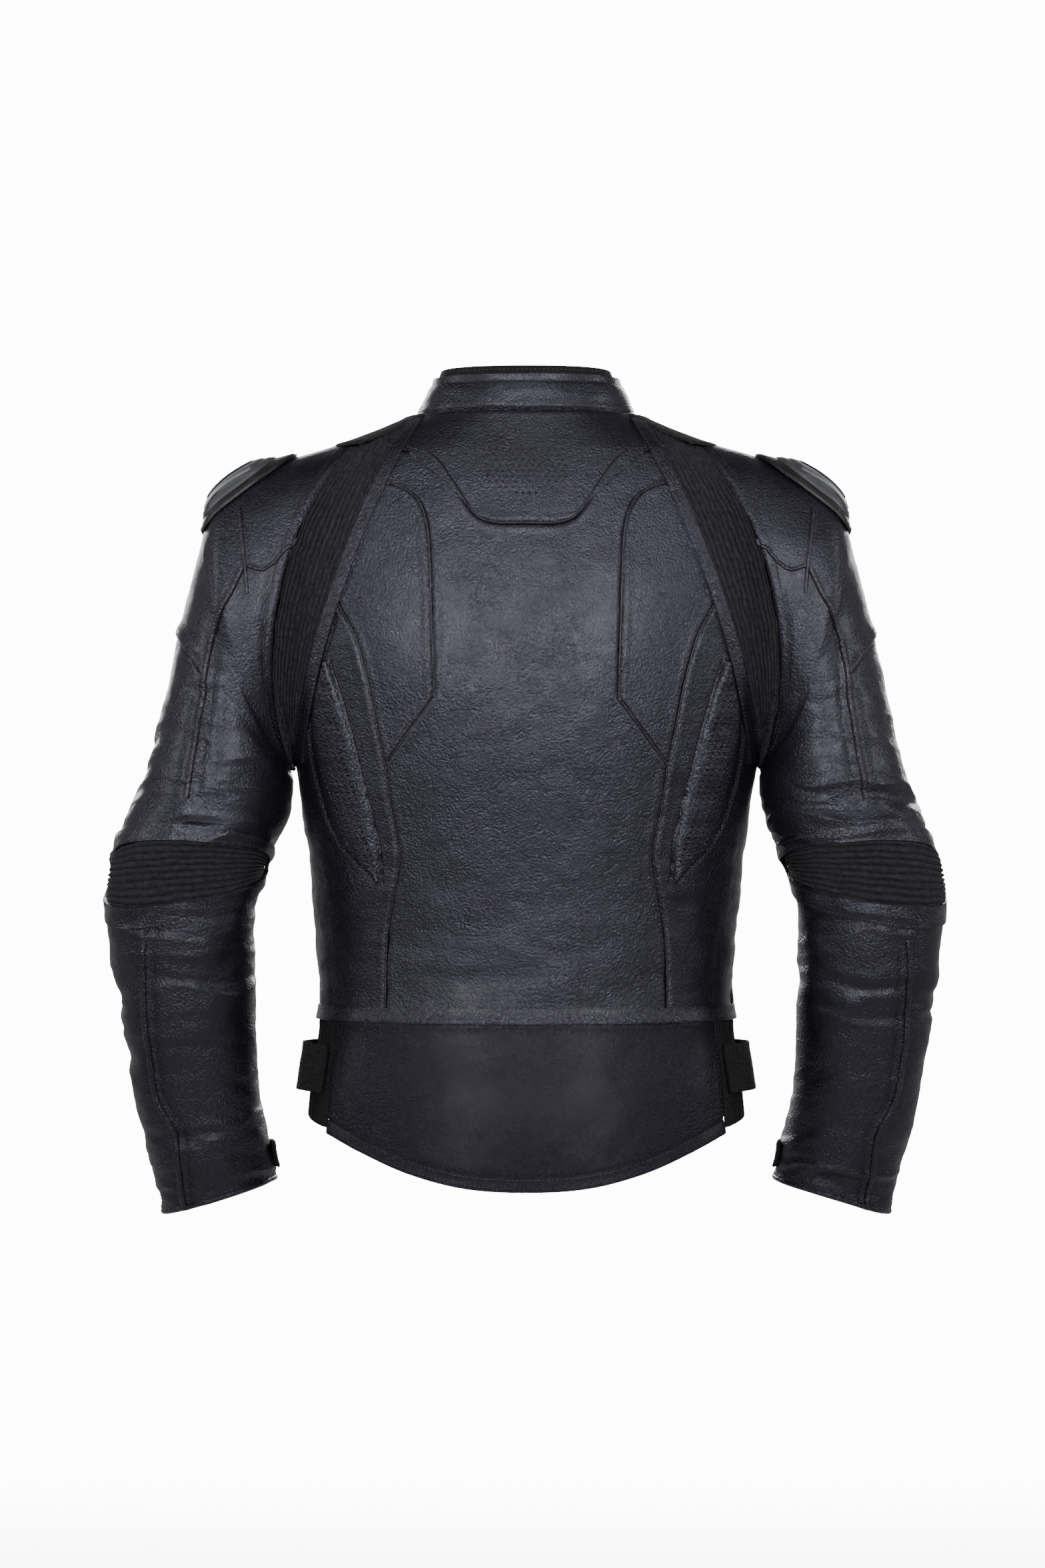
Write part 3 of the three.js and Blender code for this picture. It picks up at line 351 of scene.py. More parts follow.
def lay_panel(name, form, corners, columns, rows, outside, relief=None, turned="lrtb", lift=0.0, wall=1.5,
              turn_depth=1.3, side=1, closed=False, attributes=None):
    """A grid whose corners function gives the form's numbers at u, v; turned names the borders sewn down."""
    bm = bmesh.new()
    bm.loops.layers.uv.new("UVMap")
    bmesh.ops.create_grid(bm, x_segments=columns, y_segments=rows, size=0.5, calc_uvs=True)
    bm.verts.ensure_lookup_table()
    flat = np.array([v.co[:2] for v in bm.verts]) + 0.5
    order = np.lexsort((np.round(flat[:, 0], 6), np.round(flat[:, 1], 6)))
    uv = flat[order].reshape(rows + 1, columns + 1, 2)
    u, v = uv[..., 0], 1 - uv[..., 1]
    a, b = corners(u, v)
    p, n = steps_of(form, a, b)
    out = p - outside(a, b)
    n *= np.where((n * out).sum(-1, keepdims=True) < 0, -1, 1)
    steps_across = np.linalg.norm(np.diff(p, axis=1), axis=-1)
    steps_down = np.linalg.norm(np.diff(p, axis=0), axis=-1)
    across = np.concatenate([np.zeros((rows + 1, 1)), np.cumsum(steps_across, axis=1)], 1)
    down = np.concatenate([np.zeros((1, columns + 1)), np.cumsum(steps_down, axis=0)], 0)
    up = down[-1:] - down
    top_first = v[0, 0] < v[-1, 0]
    edges = {"l": across, "r": across[:, -1:] - across, "t": down if top_first else up,
             "b": up if top_first else down}
    height = np.full(u.shape, lift * MM)
    for border in turned:
        d = edges[border] / MM
        height += MM * (-turn_depth * bell(d, 1.6) + 0.45 * bell(d - 4.5, 2.6))
    grid = {"p": p, "n": n, "u": u, "v": v, "a": a, "b": b, "edges": edges}
    if relief is not None:
        height = height + relief(grid)
    q = p + n * height[..., None]
    grid["q"] = q
    q_side = q * np.array((side, 1, 1))
    grid["side"] = side
    sewn[name] = grid
    flat_q = q_side.reshape(-1, 3)
    for k, index in enumerate(order):
        bm.verts[index].co = flat_q[k]
    for key, values in (attributes(grid) if attributes else {}).items():
        vector = values.ndim == 3
        layers = bm.verts.layers.float_vector if vector else bm.verts.layers.float
        layer = layers.new(key)
        values = values.reshape(-1, 3) if vector else values.reshape(-1)
        for k, index in enumerate(order):
            bm.verts[index][layer] = Vector(values[k]) if vector else float(values[k])
    bmesh.ops.remove_doubles(bm, verts=bm.verts, dist=2e-5 if closed else 1e-6)
    bm.normal_update()
    mesh = bpy.data.meshes.new(name)
    # faces are turned outwards all together
    way_out = (n * np.array((side, 1, 1))).reshape(-1, 3)
    vote = 0
    for f in list(bm.faces)[:: max(1, len(bm.faces) // 60)]:
        near = np.argmin(((flat_q - np.array(f.calc_center_median())) ** 2).sum(1))
        vote += 1 if float(np.dot(way_out[near], f.normal)) > 0 else -1
    if vote < 0:
        bmesh.ops.reverse_faces(bm, faces=bm.faces)
    bm.to_mesh(mesh)
    bm.free()
    mesh.shade_smooth()
    piece = bpy.data.objects.new(name, mesh)
    bpy.context.scene.collection.objects.link(piece)
    if wall:
        solid = piece.modifiers.new("wall", "SOLIDIFY")
        solid.thickness, solid.offset, solid.use_even_offset = wall * MM, -1, False
        walled = piece.evaluated_get(bpy.context.evaluated_depsgraph_get())
        piece.data = bpy.data.meshes.new_from_object(walled)
        piece.modifiers.clear()
        piece.data.name = name
        piece.data.set_sharp_from_angle(angle=math.radians(48))
    grid["piece"] = piece
    return piece


def made(name):
    return sewn[name]["piece"]


def dress(piece, *materials):
    piece.data.materials.clear()
    for m in materials:
        piece.data.materials.append(m)
    return piece


def between(left, right):
    """Corners for a panel whose two long sides are given lines."""
    def corners(u, v):
        k = v * (len(left) - 1)
        at = np.arange(len(left))
        l = [np.interp(k, at, left[:, c]) for c in (0, 1)]
        r = [np.interp(k, at, right[:, c]) for c in (0, 1)]
        return l[0] * (1 - u) + r[0] * u, l[1] * (1 - u) + r[1] * u
    return corners


def four_sided(left, right, top, bottom):
    """Corners for a panel inside four lines. Sides run down, top and bottom run from left to right."""
    def corners(u, v):
        def at(line, k):
            return [np.interp(k * (len(line) - 1), np.arange(len(line)), line[:, c]) for c in (0, 1)]
        l, r, t, b = at(left, v), at(right, v), at(top, u), at(bottom, u)
        found = []
        for c in (0, 1):
            blend = (1 - u) * l[c] + u * r[c] + (1 - v) * t[c] + v * b[c]
            corner = ((1 - u) * (1 - v) * left[0, c] + u * (1 - v) * right[0, c]
                      + (1 - u) * v * left[-1, c] + u * v * right[-1, c])
            found.append(blend - corner)
        return found
    return corners


def trunk_axis(a, b):
    return np.stack([0 * a, 0 * a + 0.07 * deep, np.minimum(b, -0.10) - 0.02], -1)


def mirror(line):
    return line * np.array((-1, 1))


# ---- The raglan seams
# The trunk's panels end at a seam that runs from the neck over the shoulder blade to under the arm, and up
# again in front. The stretch panels are sewn in outside it.
ring_inner, ring_outer, ring_bow = (190, -288), (90, 0), 14


def raglan_point(turn):
    a = np.radians(turn)
    inner, outer = np.array(ring_inner, float), np.array(ring_outer, float)
    axis = (outer - inner) / 2
    across = np.array((axis[1], -axis[0])) / np.hypot(*axis)
    c = np.cos(a)[:, None]
    along = np.sign(c) * np.abs(c) ** (2 / 2.2)
    return inner + axis + axis * along + across * ring_bow * np.sin(a)[:, None] ** 2


raglan_turns = np.linspace(0, 180, 181)
raglan = raglan_point(raglan_turns)


def raglan_between(top, bottom, front=False):
    """The raglan seam between two heights in millimetres."""
    z = np.linspace(top, bottom, 60)
    x = np.interp(-z, -raglan[:, 1], raglan[:, 0])
    return seam_line(np.c_[x, z], 60, front, smooth=False)


def raglan_x(z):
    return float(np.interp(-z, -raglan[:, 1], raglan[:, 0]))


# ---- Seam lines of the back
# The yoke is cut like a shield, and the blade panels end in points. Coordinates are millimetres from the
# collar seam at the centre back.
yoke_half = seam_line([(raglan_x(-32), -32), (76, -39), (57, -63), (40, -88), (24, -94), (0, -94)], 90)
blade_inner = joined(
    seam_line([(raglan_x(-59), -59), (98, -66), (86, -77), (79, -102), (76, -170), (74, -235)], 90),
    seam_line([(74, -235), (114, -289)], 20, smooth=False),
)
outer_seam = seam_line([(raglan_x(-151), -151), (140, -181), (129, -217), (121, -256), (114, -289)], 60)
princess = seam_line([(114, -289), (110, -320), (103, -362), (108, -398), (113, -430), (115, -495)], 60)
waist_z = -0.495 * long


def waist_line(start, end, count=60):
    turns = np.linspace(start, end, count)
    return np.stack([turns, np.full(count, waist_z)], -1)


# ---- Back yoke
# A shield of leather under the collar, with a small field of punched holes at its middle for air. It is
# sewn over the centre and blade panels along its lower edge.
yoke_bottom = joined(mirror(yoke_half), yoke_half[::-1])
yoke_top = np.stack([np.linspace(-90, 90, 60), np.zeros(60)], -1)


def yoke_field(grid):
    x, z = grid["q"][..., 0] / MM / wide, grid["q"][..., 2] / MM / long
    low = -72 + 14 * (np.abs(x) / 32) ** 1.5
    inside = np.clip((33 - np.abs(x)) / 1.2, 0, 1) * np.clip((-31 - z) / 1.2, 0,
                                                             1) * np.clip((z - low) / 1.2, 0, 1)
    punch = np.stack([x / 5.3, z / 4.5, 0 * x], -1)
    return {"perforated": inside, "punch": punch}


def back_relief(grid):
    p = grid["p"]
    x, z = p[..., 0] / MM, p[..., 2] / MM
    soft = 1.4 * ripple(p, 9, (1, 1, 0.8), 2.0)
    pull = 1.1 * ripple(p, 26, (0.5, 0.5, 1.5), 5.0) * bell(z + 455, 55)
    dip = -2.2 * bell(x, 34) * bell(z + 240, 150)
    small = 0.5 * ripple(p, 45, (1, 1, 1), 9.0)
    return MM * (soft + pull + dip + small)


yoke = lay_panel("back_yoke", on_trunk, four_sided(
    np.linspace(yoke_top[0], mirror(yoke_half)[0], 40), np.linspace(yoke_top[-1], yoke_half[0], 40), yoke_top,
    yoke_bottom),
    120, 56, trunk_axis, back_relief, attributes=yoke_field)
dress(yoke, hide_punched)
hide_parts("back_yoke")
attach(yoke, "body")

# ---- Centre back panel
# One long piece from the neck to the waist seam, narrowest at the loins. Its top runs on under the yoke,
# which is sewn over it.
def line_distance(p, line):
    """Distance from points to a line on the trunk, in millimetres."""
    fine = on_trunk(line[:, 0], line[:, 1]) / MM
    flat = p.reshape(-1, 3) / MM
    found = np.full(len(flat), 1e9)
    for k in range(0, len(fine), 40):
        part = fine[k:k + 40]
        found = np.minimum(found, np.sqrt(((flat[:, None] - part[None]) ** 2).sum(-1)).min(1))
    return found.reshape(p.shape[:-1])


yoke_fine = np.stack([np.interp(np.linspace(0, 1, 600), np.linspace(0, 1, len(yoke_bottom)),
                                yoke_bottom[:, c])
                      for c in (0, 1)], -1)


def centre_relief(grid):
    x, z = grid["p"][..., 0], grid["p"][..., 2]
    edge = on_trunk(yoke_fine[:, 0], yoke_fine[:, 1])
    seam_z = np.interp(x, edge[:, 0], edge[:, 2])
    d = line_distance(grid["p"], yoke_fine) * np.where(z > seam_z, -1, 1)
    under = 1 / (1 + np.exp(np.clip(d * 2.2 + 1, -40, 40)))
    return back_relief(grid) + MM * (-2.8 * under + (1 - under) * (-1.3 * bell(d, 1.8)
                                                                   + 0.45 * bell(d - 4.5, 2.6)))


centre_right = joined(raglan_between(-32, -59), blade_inner, princess)
centre = lay_panel("back_centre", on_trunk, between(mirror(centre_right), centre_right), 110, 260, trunk_axis,
                   centre_relief, turned="lr")
dress(centre, hide)
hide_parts("back_centre")
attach(centre, "body")

# ---- Shoulder-blade panels
# Pointed leaves of leather between the centre panel and the raglan seam, one each side. Each is turned in
# all round and sewn to its neighbours.
SIDES = ((1, "right"), (-1, "left"))
blade_outer = joined(raglan_between(-59, -151), outer_seam)
for side, hand in SIDES:
    blade = lay_panel("blade_panel_" + hand, on_trunk, between(blade_inner, blade_outer), 44, 110, trunk_axis,
                      lambda grid: MM * (0.9 * ripple(grid["p"], 13, (1, 1, 0.7), 3.0 * side)
                                         + 0.3 * ripple(grid["p"], 45, (1, 1, 1), 4.0 * side)), side=side)
    dress(blade, hide)
    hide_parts("blade_panel_" + hand)
    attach(blade, "body")

# ---- Side back panels and their padded leaves
# Each side panel carries a foam-filled, punched pad shaped like a leaf, quilted down all round. The panel
# is sewn to the blade, the centre back and the strap at the raglan seam.
side_inner = joined(outer_seam, princess)
side_seam = np.stack([np.full(60, 90.0), np.linspace(-0.288 * long, waist_z, 60)], -1)
side_outer = joined(raglan_between(-151, -287), side_seam)
PAD_AXIS = [(162, -205), (160, -250), (151, -300), (136, -350), (119, -384)]
PAD_HALF = [3, 15, 19, 16, 2]


def pad_distance(p):
    """How far a point is from the leaf's middle, as a share of its half width there, and that half width."""
    axis = np.array(PAD_AXIS, float) * (wide, long)
    z = p[..., 2] / MM
    table = np.c_[-axis[:, 1], axis[:, 0], PAD_HALF]
    fine_z = np.linspace(table[0, 0], table[-1, 0], 200)
    fine = smooth_rows(table, fine_z)
    mid = np.interp(-z, fine_z, fine[:, 0])
    half = np.interp(-z, fine_z, np.maximum(fine[:, 1], 0.5))
    inside = (-z > table[0, 0]) & (-z < table[-1, 0])
    return np.where(inside, np.abs(np.abs(p[..., 0]) / MM - mid) / half, 9.0), half


def side_relief(side):
    def relief(grid):
        p = grid["p"]
        share, half = pad_distance(p)
        gap = (share - 1) * half
        pad = 4.2 * np.clip(1 - share**2, 0, 1) ** 0.6
        groove = -1.6 * bell(gap, 1.7)
        quilt = 0.8 * ripple(p, 48, (0.6, 0.6, 2.2), 7.0 * side) * np.clip(1 - share, 0, 1) ** 0.5
        folds = 2.6 * ripple(p, 17, (0.5, 0.5, 1.6), 1.5 * side + 3,
                             3) * np.clip((-p[..., 2] / MM - 250) / 120, 0, 1)
        drag = 1.0 * ripple(p, 40, (1.2, 1.2, 0.5), 6.0 * side)
        return MM * (pad + groove + quilt + folds * np.where(share < 1, 0.35, 1) + 0.6 * drag)
    return relief


def pad_field(grid):
    share, half = pad_distance(grid["p"])
    x, z = grid["p"][..., 0] / MM, grid["p"][..., 2] / MM
    return {"perforated": np.clip((0.62 - share) * 5, 0, 1),
            "punch": np.stack([x / 5.0 + z / 26, z / 4.6, 0 * x], -1)}


for side, hand in SIDES:
    flank = lay_panel("side_back_" + hand, on_trunk, between(side_inner, side_outer), 84, 170, trunk_axis,
                      side_relief(side), side=side, attributes=pad_field)
    dress(flank, hide_punched)
    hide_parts("side_back_" + hand)
    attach(flank, "body")

# ---- Tail
# The back drops below the belt line in one curved panel, its border turned up and stitched. Its leather
# is painted darker and given less shine, as painted shade where the light falls off towards the hem.
tail_side = seam_line([(155, -495.5), (160, -545), (164, -587)], 50)
hem = seam_line([(-164, -588), (-132, -603), (-95, -618), (-50, -629), (0, -632), (50, -629), (95, -618),
                 (132, -603),
                 (164, -588)], 90)


def tail_relief(grid):
    p = grid["p"]
    d = grid["edges"]["b"] / MM
    border = 0.9 * bell(np.clip(d - 3, 0, None), 5) - 0.8 * bell(d - 11, 1.6)
    return MM * (border + 1.3 * ripple(p, 12, (1, 1, 0.8), 8.0) + 0.3 * ripple(p, 45, (1, 1, 1), 9.0))


tail = lay_panel("tail_panel", on_trunk, four_sided(
    mirror(tail_side), tail_side, waist_line(-tail_side[0, 0], tail_side[0, 0]), hem), 130, 60, trunk_axis,
    tail_relief, turned="lrt")
# The tail's tone is painted darker than the back's: painted shade towards the hem.
dress(tail, leather("tail_leather", tone=(0.0068, 0.0065, 0.0093), rough=0.45, shine=0.28))
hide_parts("tail_panel")
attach(tail, "body")

# ---- Ribbed cloth
# Black stretch weave with fine ribs, used at the hips and over the shoulders, and gathered into deep pleats
# for the accordion panels.
def ribbed(name, count, tone=(0.007, 0.007, 0.008), strength=0.8):
    material = bpy.data.materials.new(name)
    material.use_nodes = True
    tree = material.node_tree
    surface = tree.nodes["Principled BSDF"]
    uv = wired(tree, "ShaderNodeUVMap", uv_map="UVMap").outputs["UV"]
    where = wired(tree, "ShaderNodeTexCoord").outputs["Object"]
    split = wired(tree, "ShaderNodeSeparateXYZ", {0: uv})
    turn = wired(tree, "ShaderNodeMath", {0: split.outputs[0], 1: count * math.tau}, operation="MULTIPLY")
    wave = wired(tree, "ShaderNodeMath", {0: turn.outputs[0]}, operation="SINE")
    threads = wired(tree, "ShaderNodeTexNoise",
                    {"Vector": where, "Scale": 1900, "Detail": 3, "Roughness": 0.7})
    fuzz = wired(tree, "ShaderNodeTexNoise", {"Vector": where, "Scale": 240, "Detail": 4, "Roughness": 0.6})
    tint = ramp(tree, fuzz.outputs["Fac"], [(0.3, tuple(0.6 * c for c in tone)),
                                            (0.7, tuple(1.7 * c for c in tone))])
    tree.links.new(tint.outputs["Color"], surface.inputs["Base Color"])
    rough = ramp(tree, threads.outputs["Fac"], [(0.3, 0.82), (0.7, 1.0)])
    tree.links.new(rough.outputs["Color"], surface.inputs["Roughness"])
    surface.inputs["Specular IOR Level"].default_value = 0.25
    surface.inputs["Sheen Weight"].default_value = 0.02
    surface.inputs["Sheen Roughness"].default_value = 0.5
    weave = wired(tree, "ShaderNodeBump", {"Height": threads.outputs["Fac"], "Strength": 0.6,
                                           "Distance": 0.0005})
    ribs = wired(tree, "ShaderNodeBump", {"Height": wave.outputs[0], "Strength": strength if count else 0.0,
                                          "Distance": 0.0008, "Normal": weave.outputs[0]})
    tree.links.new(ribs.outputs[0], surface.inputs["Normal"])
    return material


knit_hip = ribbed("hip_rib", 52)
knit_shoulder = ribbed("shoulder_rib", 26)
pleated = ribbed("accordion_cloth", 0, tone=(0.0150, 0.0145, 0.0180))

# ---- Knit hip inserts
# Ribbed stretch panels between the tail and the fronts, ribs upright, so that the waist can be drawn in.
# They are sewn in along the waist seam and both sides.
hip_back = seam_line([(155.5, -495.5), (160.5, -545), (164.5, -584)], 50)
hip_front = seam_line([(126.5, -495.5), (126.5, -562)], 50, front=True, smooth=False)
for side, hand in SIDES:
    hip = lay_panel("hip_knit_" + hand, on_trunk, between(hip_back, hip_front), 90, 40, trunk_axis,
                    lambda grid: MM * (1.2 * ripple(grid["p"], 14, (1, 1, 0.5), 4.0 * side)
                                       + 0.25 * np.sin(grid["u"] * 52 * math.tau)), turned="lrt", lift=-0.8,
                    side=side)
    dress(hip, knit_hip)
    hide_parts("hip_knit_" + hand)
    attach(hip, "body")

# ---- Fronts
# Each front is one width of leather from the side seam to the zip. It folds open where it meets the belly,
# so it bends between the trunk and the front that swings.
ZIP_EDGE, NECK_DROP = 14.5, 78


def front_rows(zip_x, low):
    """Level rows from the neckline and the zip out to the raglan seam and the side seam."""
    def corners(u, v):
        k = np.clip(v / 0.35, 0, 1)
        z = np.where(v < 0.35, -1 - 76 * np.sin(np.pi / 2 * k),
                     -77 + (low + 77) * np.clip((v - 0.35) / 0.65, 0, 1))
        neck_x = 90 * np.sqrt(np.maximum(1 - (z / NECK_DROP) ** 2, 0))
        inner = np.maximum(np.where(z > -77, neck_x, 0), zip_x)
        outer = np.interp(-z, -raglan[:, 1], raglan[:, 0])
        height = z * MM * long
        start = trunk_turn(inner * MM * wide, height, True)
        end = np.where(z > -287.5, trunk_turn(outer * MM * wide, height, True), 90.0)
        return start * (1 - u) + end * u, height
    return corners


def front_relief(side):
    def relief(grid):
        p = grid["p"]
        return MM * (1.5 * ripple(p, 12, (0.8, 1, 0.9), 6.0 * side)
                     + 1.6 * ripple(p, 24, (0.5, 0.5, 1.6),
                                    2.0 * side) * np.clip((-p[..., 2] / MM - 330) / 120, 0, 1)
                     + 0.3 * ripple(p, 45, (1, 1, 1), 2.0 * side))
    return relief


def bend_front(piece, side, hand):
    """A front folds open along an upright line beside the belly."""
    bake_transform(piece, "body", "front_" + hand, start=(side * 0.094 * wide, 0.16, -0.3),
             end=(side * 0.066 * wide, 0.16, -0.3))


for side, hand in SIDES:
    chest = lay_panel("front_" + hand, on_trunk, front_rows(ZIP_EDGE, -495), 70, 150, trunk_axis,
                      front_relief(side),
                      side=side)
    dress(chest, hide)
    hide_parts("side_front_" + hand, "front_panel_" + hand)
    bend_front(chest, side, hand)
    skirt = lay_panel("front_skirt_" + hand, on_trunk, between(
        seam_line([(ZIP_EDGE, -495.5), (ZIP_EDGE, -560)], 40, True, False),
        seam_line([(126, -495.5), (126, -560)], 40, True, False)), 50, 30, trunk_axis, front_relief(side),
                      side=side)
    dress(skirt, hide)
    bend_front(skirt, side, hand)

# ---- The worn shape of a sleeve
# Cross sections fan out from the armpit over the shoulder, then run down the bent arm to the cuff.
RINGS = [  # inner x, z; outer x, z; bow; middle y; half depth
    (190, -288, 90, 0, 14, 66, 80), (193, -291, 136, -19, 34, 66, 80), (193.5, -292, 184, -33, 28, 63, 80),
    (194, -293, 222, -45, 22, 61, 79), (194, -294, 250, -64, 17, 60, 78), (194, -295, 263, -90, 12, 60, 77),
    (193.5, -297, 270, -116, 8, 60, 76), (193, -300, 281, -160, 4, 59, 74), (193, -305, 290, -200, 0, 57, 73),
    (193.5, -315, 301, -250, 0, 54, 71), (197, -331, 311, -295, 0, 51, 69), (208, -352, 326, -335, 0, 47, 67),
    (218, -380, 341, -378, 0, 45, 65), (222, -420, 342, -425, 0, 48, 63), (223, -468, 336, -480, 0, 56, 60),
    (224, -518, 328, -535, 0, 66, 57), (221, -565, 318, -590, 0, 77, 53), (212, -605, 306, -632, 0, 86, 49),
    (208, -632, 301, -660, 0, 91, 46),
]
RING_OVAL = 2.2
CUFF = len(RINGS) - 1
ring_scale = np.array((wide, long, wide, long, wide, deep, deep)) * MM
ring_at = np.linspace(0, CUFF, 1801)
ring_table = smooth_rows(np.c_[np.arange(CUFF + 1), np.array(RINGS) * ring_scale], ring_at)


def ring_numbers(ring):
    return [np.interp(ring, ring_at, ring_table[:, c]) for c in range(7)]


def on_sleeve(turn, ring):
    """The right sleeve's skin: turn 0 is the outer edge, 90 the back, 180 the armpit side, 270 the front."""
    ix, iz, ox, oz, bow, y, depth = ring_numbers(ring)
    a = np.radians(turn)
    s, c = np.sin(a), np.cos(a)
    ax, az = (ox - ix) / 2, (oz - iz) / 2
    size = np.hypot(ax, az)
    along = np.sign(c) * np.abs(c) ** (2 / RING_OVAL)
    x = ix + ax + ax * along + az / size * bow * s**2
    z = iz + az + az * along - ax / size * bow * s**2
    fall = y - depth * np.sign(s) * np.abs(s) ** (2 / RING_OVAL)
    on_body = trunk_y(x, np.minimum(z, 0), s < 0)
    k = np.clip(ring, 0, 1)
    k = k * k * (3 - 2 * k)
    return np.stack([x, on_body * (1 - k) + fall * k, z], -1)


def sleeve_axis(turn, ring):
    ix, iz, ox, oz, bow, y, depth = ring_numbers(ring)
    k = np.clip((ring - 1) / 5, 0, 1)
    return np.stack([(ox + ix) / 2 - 0.02 * (1 - k), y, (oz + iz) / 2 - 0.03 * (1 - k)], -1)


def armpit(turn):
    return np.maximum(0, -np.cos(np.radians(turn))) ** 12


SHOULDER_AXIS = Vector((0.965, 0, 0.262))


def bend_shoulder(piece, side, hand):
    """Cloth and leather at the shoulder turn from the trunk to the sleeve over the same strip."""
    axis = Vector((SHOULDER_AXIS.x * side, 0, SHOULDER_AXIS.z))
    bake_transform(piece, "body", "upper_arm_" + hand, start=axis * 0.111 * wide, end=axis * 0.130 * wide)


def bend_elbow(piece, side, hand):
    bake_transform(piece, "upper_arm_" + hand, "forearm_" + hand,
             start=(side * 0.258 * wide, 0.05, -0.322 * long), end=(side * 0.283 * wide, 0.05, -0.44 * long))


# ---- Accordion strips behind the shoulders
# Stretch cloth gathered into ten lengthwise pleats. It is sewn in between the raglan seam and the sleeve,
# and opens when the arm reaches forward.
KNIT_BACK, STRIP_END, STRIP_RIBS = 24, 179.5, 10.5


def strip_relief(side):
    def relief(grid):
        slow = ripple(grid["p"], 60, (1, 1, 1), 3.0 * side)
        quick = ripple(grid["p"], 150, (1, 1, 1), 5.0 * side)
        waver = 0.26 * slow + 0.22 * quick
        rib = np.abs(np.sin(math.pi * (grid["u"] * STRIP_RIBS + waver)))
        tuck = 0.25 * ripple(grid["p"], 230, (1, 1, 1), 8.0 * side)
        return MM * (3.8 * rib**0.7 - 2.4 + 1.8 * tuck)
    return relief


def strip_between(start, stop):
    """Corners of a strip round the armhole, from the raglan seam out to the leather of the sleeve."""
    def corners(u, v):
        turn = start + (stop - start) * v
        return turn, (0.02 + 0.26 * armpit(turn)) * (1 - u) + (0.98 - 0.05 * armpit(turn)) * u
    return corners


for side, hand in SIDES:
    strip = lay_panel(
        "rear_stretch_" + hand, on_sleeve, strip_between(KNIT_BACK, STRIP_END),
        106, 170, sleeve_axis, strip_relief(side), turned="", lift=-0.6, side=side, wall=1.0)
    dress(strip, pleated)
    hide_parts("rear_stretch_" + hand)
    bend_shoulder(strip, side, hand)

# ---- Ribbed cloth over the shoulders
# The stretch strip goes on over the top of the shoulder and down the front to the armpit in a flat, finely
# ribbed knit, sewn between the front and the sleeve.
for side, hand in SIDES:
    cap_knit = lay_panel(
        "shoulder_knit_" + hand, on_sleeve, strip_between(-STRIP_END, KNIT_BACK - 0.3), 50, 100, sleeve_axis,
        lambda grid: MM * (0.8 * ripple(grid["p"], 20, (1, 1, 1), 2.0 * side)),
        turned="lr", lift=-0.4, side=side, wall=1.0)
    dress(cap_knit, knit_shoulder)
    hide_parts("shoulder_knit_" + hand)
    bend_shoulder(cap_knit, side, hand)

# ---- Knit beside the collar
# A plain piece of the same black stretch cloth bridges the top of each shoulder. It is sewn between the
# strap, the front and the strip.
for side, hand in SIDES:
    bridge = lay_panel("neck_knit_" + hand, on_trunk,
                       lambda u, v: (56 + 76 * u, (-2.5 - 25 * v) * MM * long), 50, 26,
                       trunk_axis, lambda grid: MM * (1.9 + 0.5 * ripple(grid["p"], 30, (1, 1, 1), 4.0)),
                       turned="lrtb",
                       side=side, wall=1.2)
    dress(bridge, knit_shoulder)
    bend_shoulder(bridge, side, hand)

# ---- Shoulder panels
# The leather cap of each sleeve, from the stretch strip to a seam round the upper arm, where it hangs over
# a little in a soft fold.
BICEPS, ELBOW_TOP, ELBOW_BOTTOM = 7.6, 10.6, 13.2


def sleeve_folds(p, side, strength, scale=21, seed=0.0):
    """Creases that run round the arm, sharp at their crests and broken up along their length."""
    warp = 0.010 * ripple(p, 11, (1, 1, 1), 4.0 * side + seed)
    bent = p + warp[..., None] * np.array((0.3, 0.3, 1.0))
    wave = ripple(bent, scale, (0.42, 0.42, 1.5), 2.0 * side + seed, 3)
    crest = 1 - np.abs(wave) * 2.4
    broken = 0.7 + 0.6 * ripple(p, 9, (1, 1, 1), seed + side)
    return 1.25 * strength * (0.6 * np.clip(crest, -1, 1) + 0.5 * wave) * broken


fan_turn, fan_ring = np.meshgrid(np.linspace(0, 180, 181), np.linspace(1, CUFF, 851), indexing="ij")
fan_points = on_sleeve(fan_turn, fan_ring)


def sleeve_line(points, count=90):
    """A seam on the back of the right sleeve through points in x and z millimetres."""
    p = np.array(points, float)
    step = np.r_[0, np.cumsum(np.hypot(*np.diff(p, axis=0).T))]
    line = smooth_rows(np.c_[step, p], np.linspace(0, step[-1], count)) * MM * (wide, long)
    found = []
    for x, z in line:
        k = np.argmin((fan_points[..., 0] - x) ** 2 + (fan_points[..., 2] - z) ** 2)
        found.append((fan_turn.ravel()[k], fan_ring.ravel()[k]))
    found = np.array(found)
    kernel = np.ones(7) / 7
    for c in (0, 1):
        padded_line = np.r_[[found[0, c]] * 3, found[:, c], [found[-1, c]] * 3]
        found[:, c] = np.convolve(padded_line, kernel, "valid")
    return found


shoulder_back_seam = sleeve_line([(181, -108), (193, -113), (205, -126), (214, -131), (225, -128)])
band_seam = sleeve_line([(225, -152), (228, -122), (231, -98), (233, -80)])
upper_back_seam = sleeve_line([(229, -128), (236, -145), (248, -168), (258, -208), (261, -236), (268, -279),
                               (274, -318)])
forearm_seam = sleeve_line([(302, -404), (309, -438), (308, -498), (305, -534), (300, -565), (287, -588),
                            (282, -636),
                            (279, -652)])


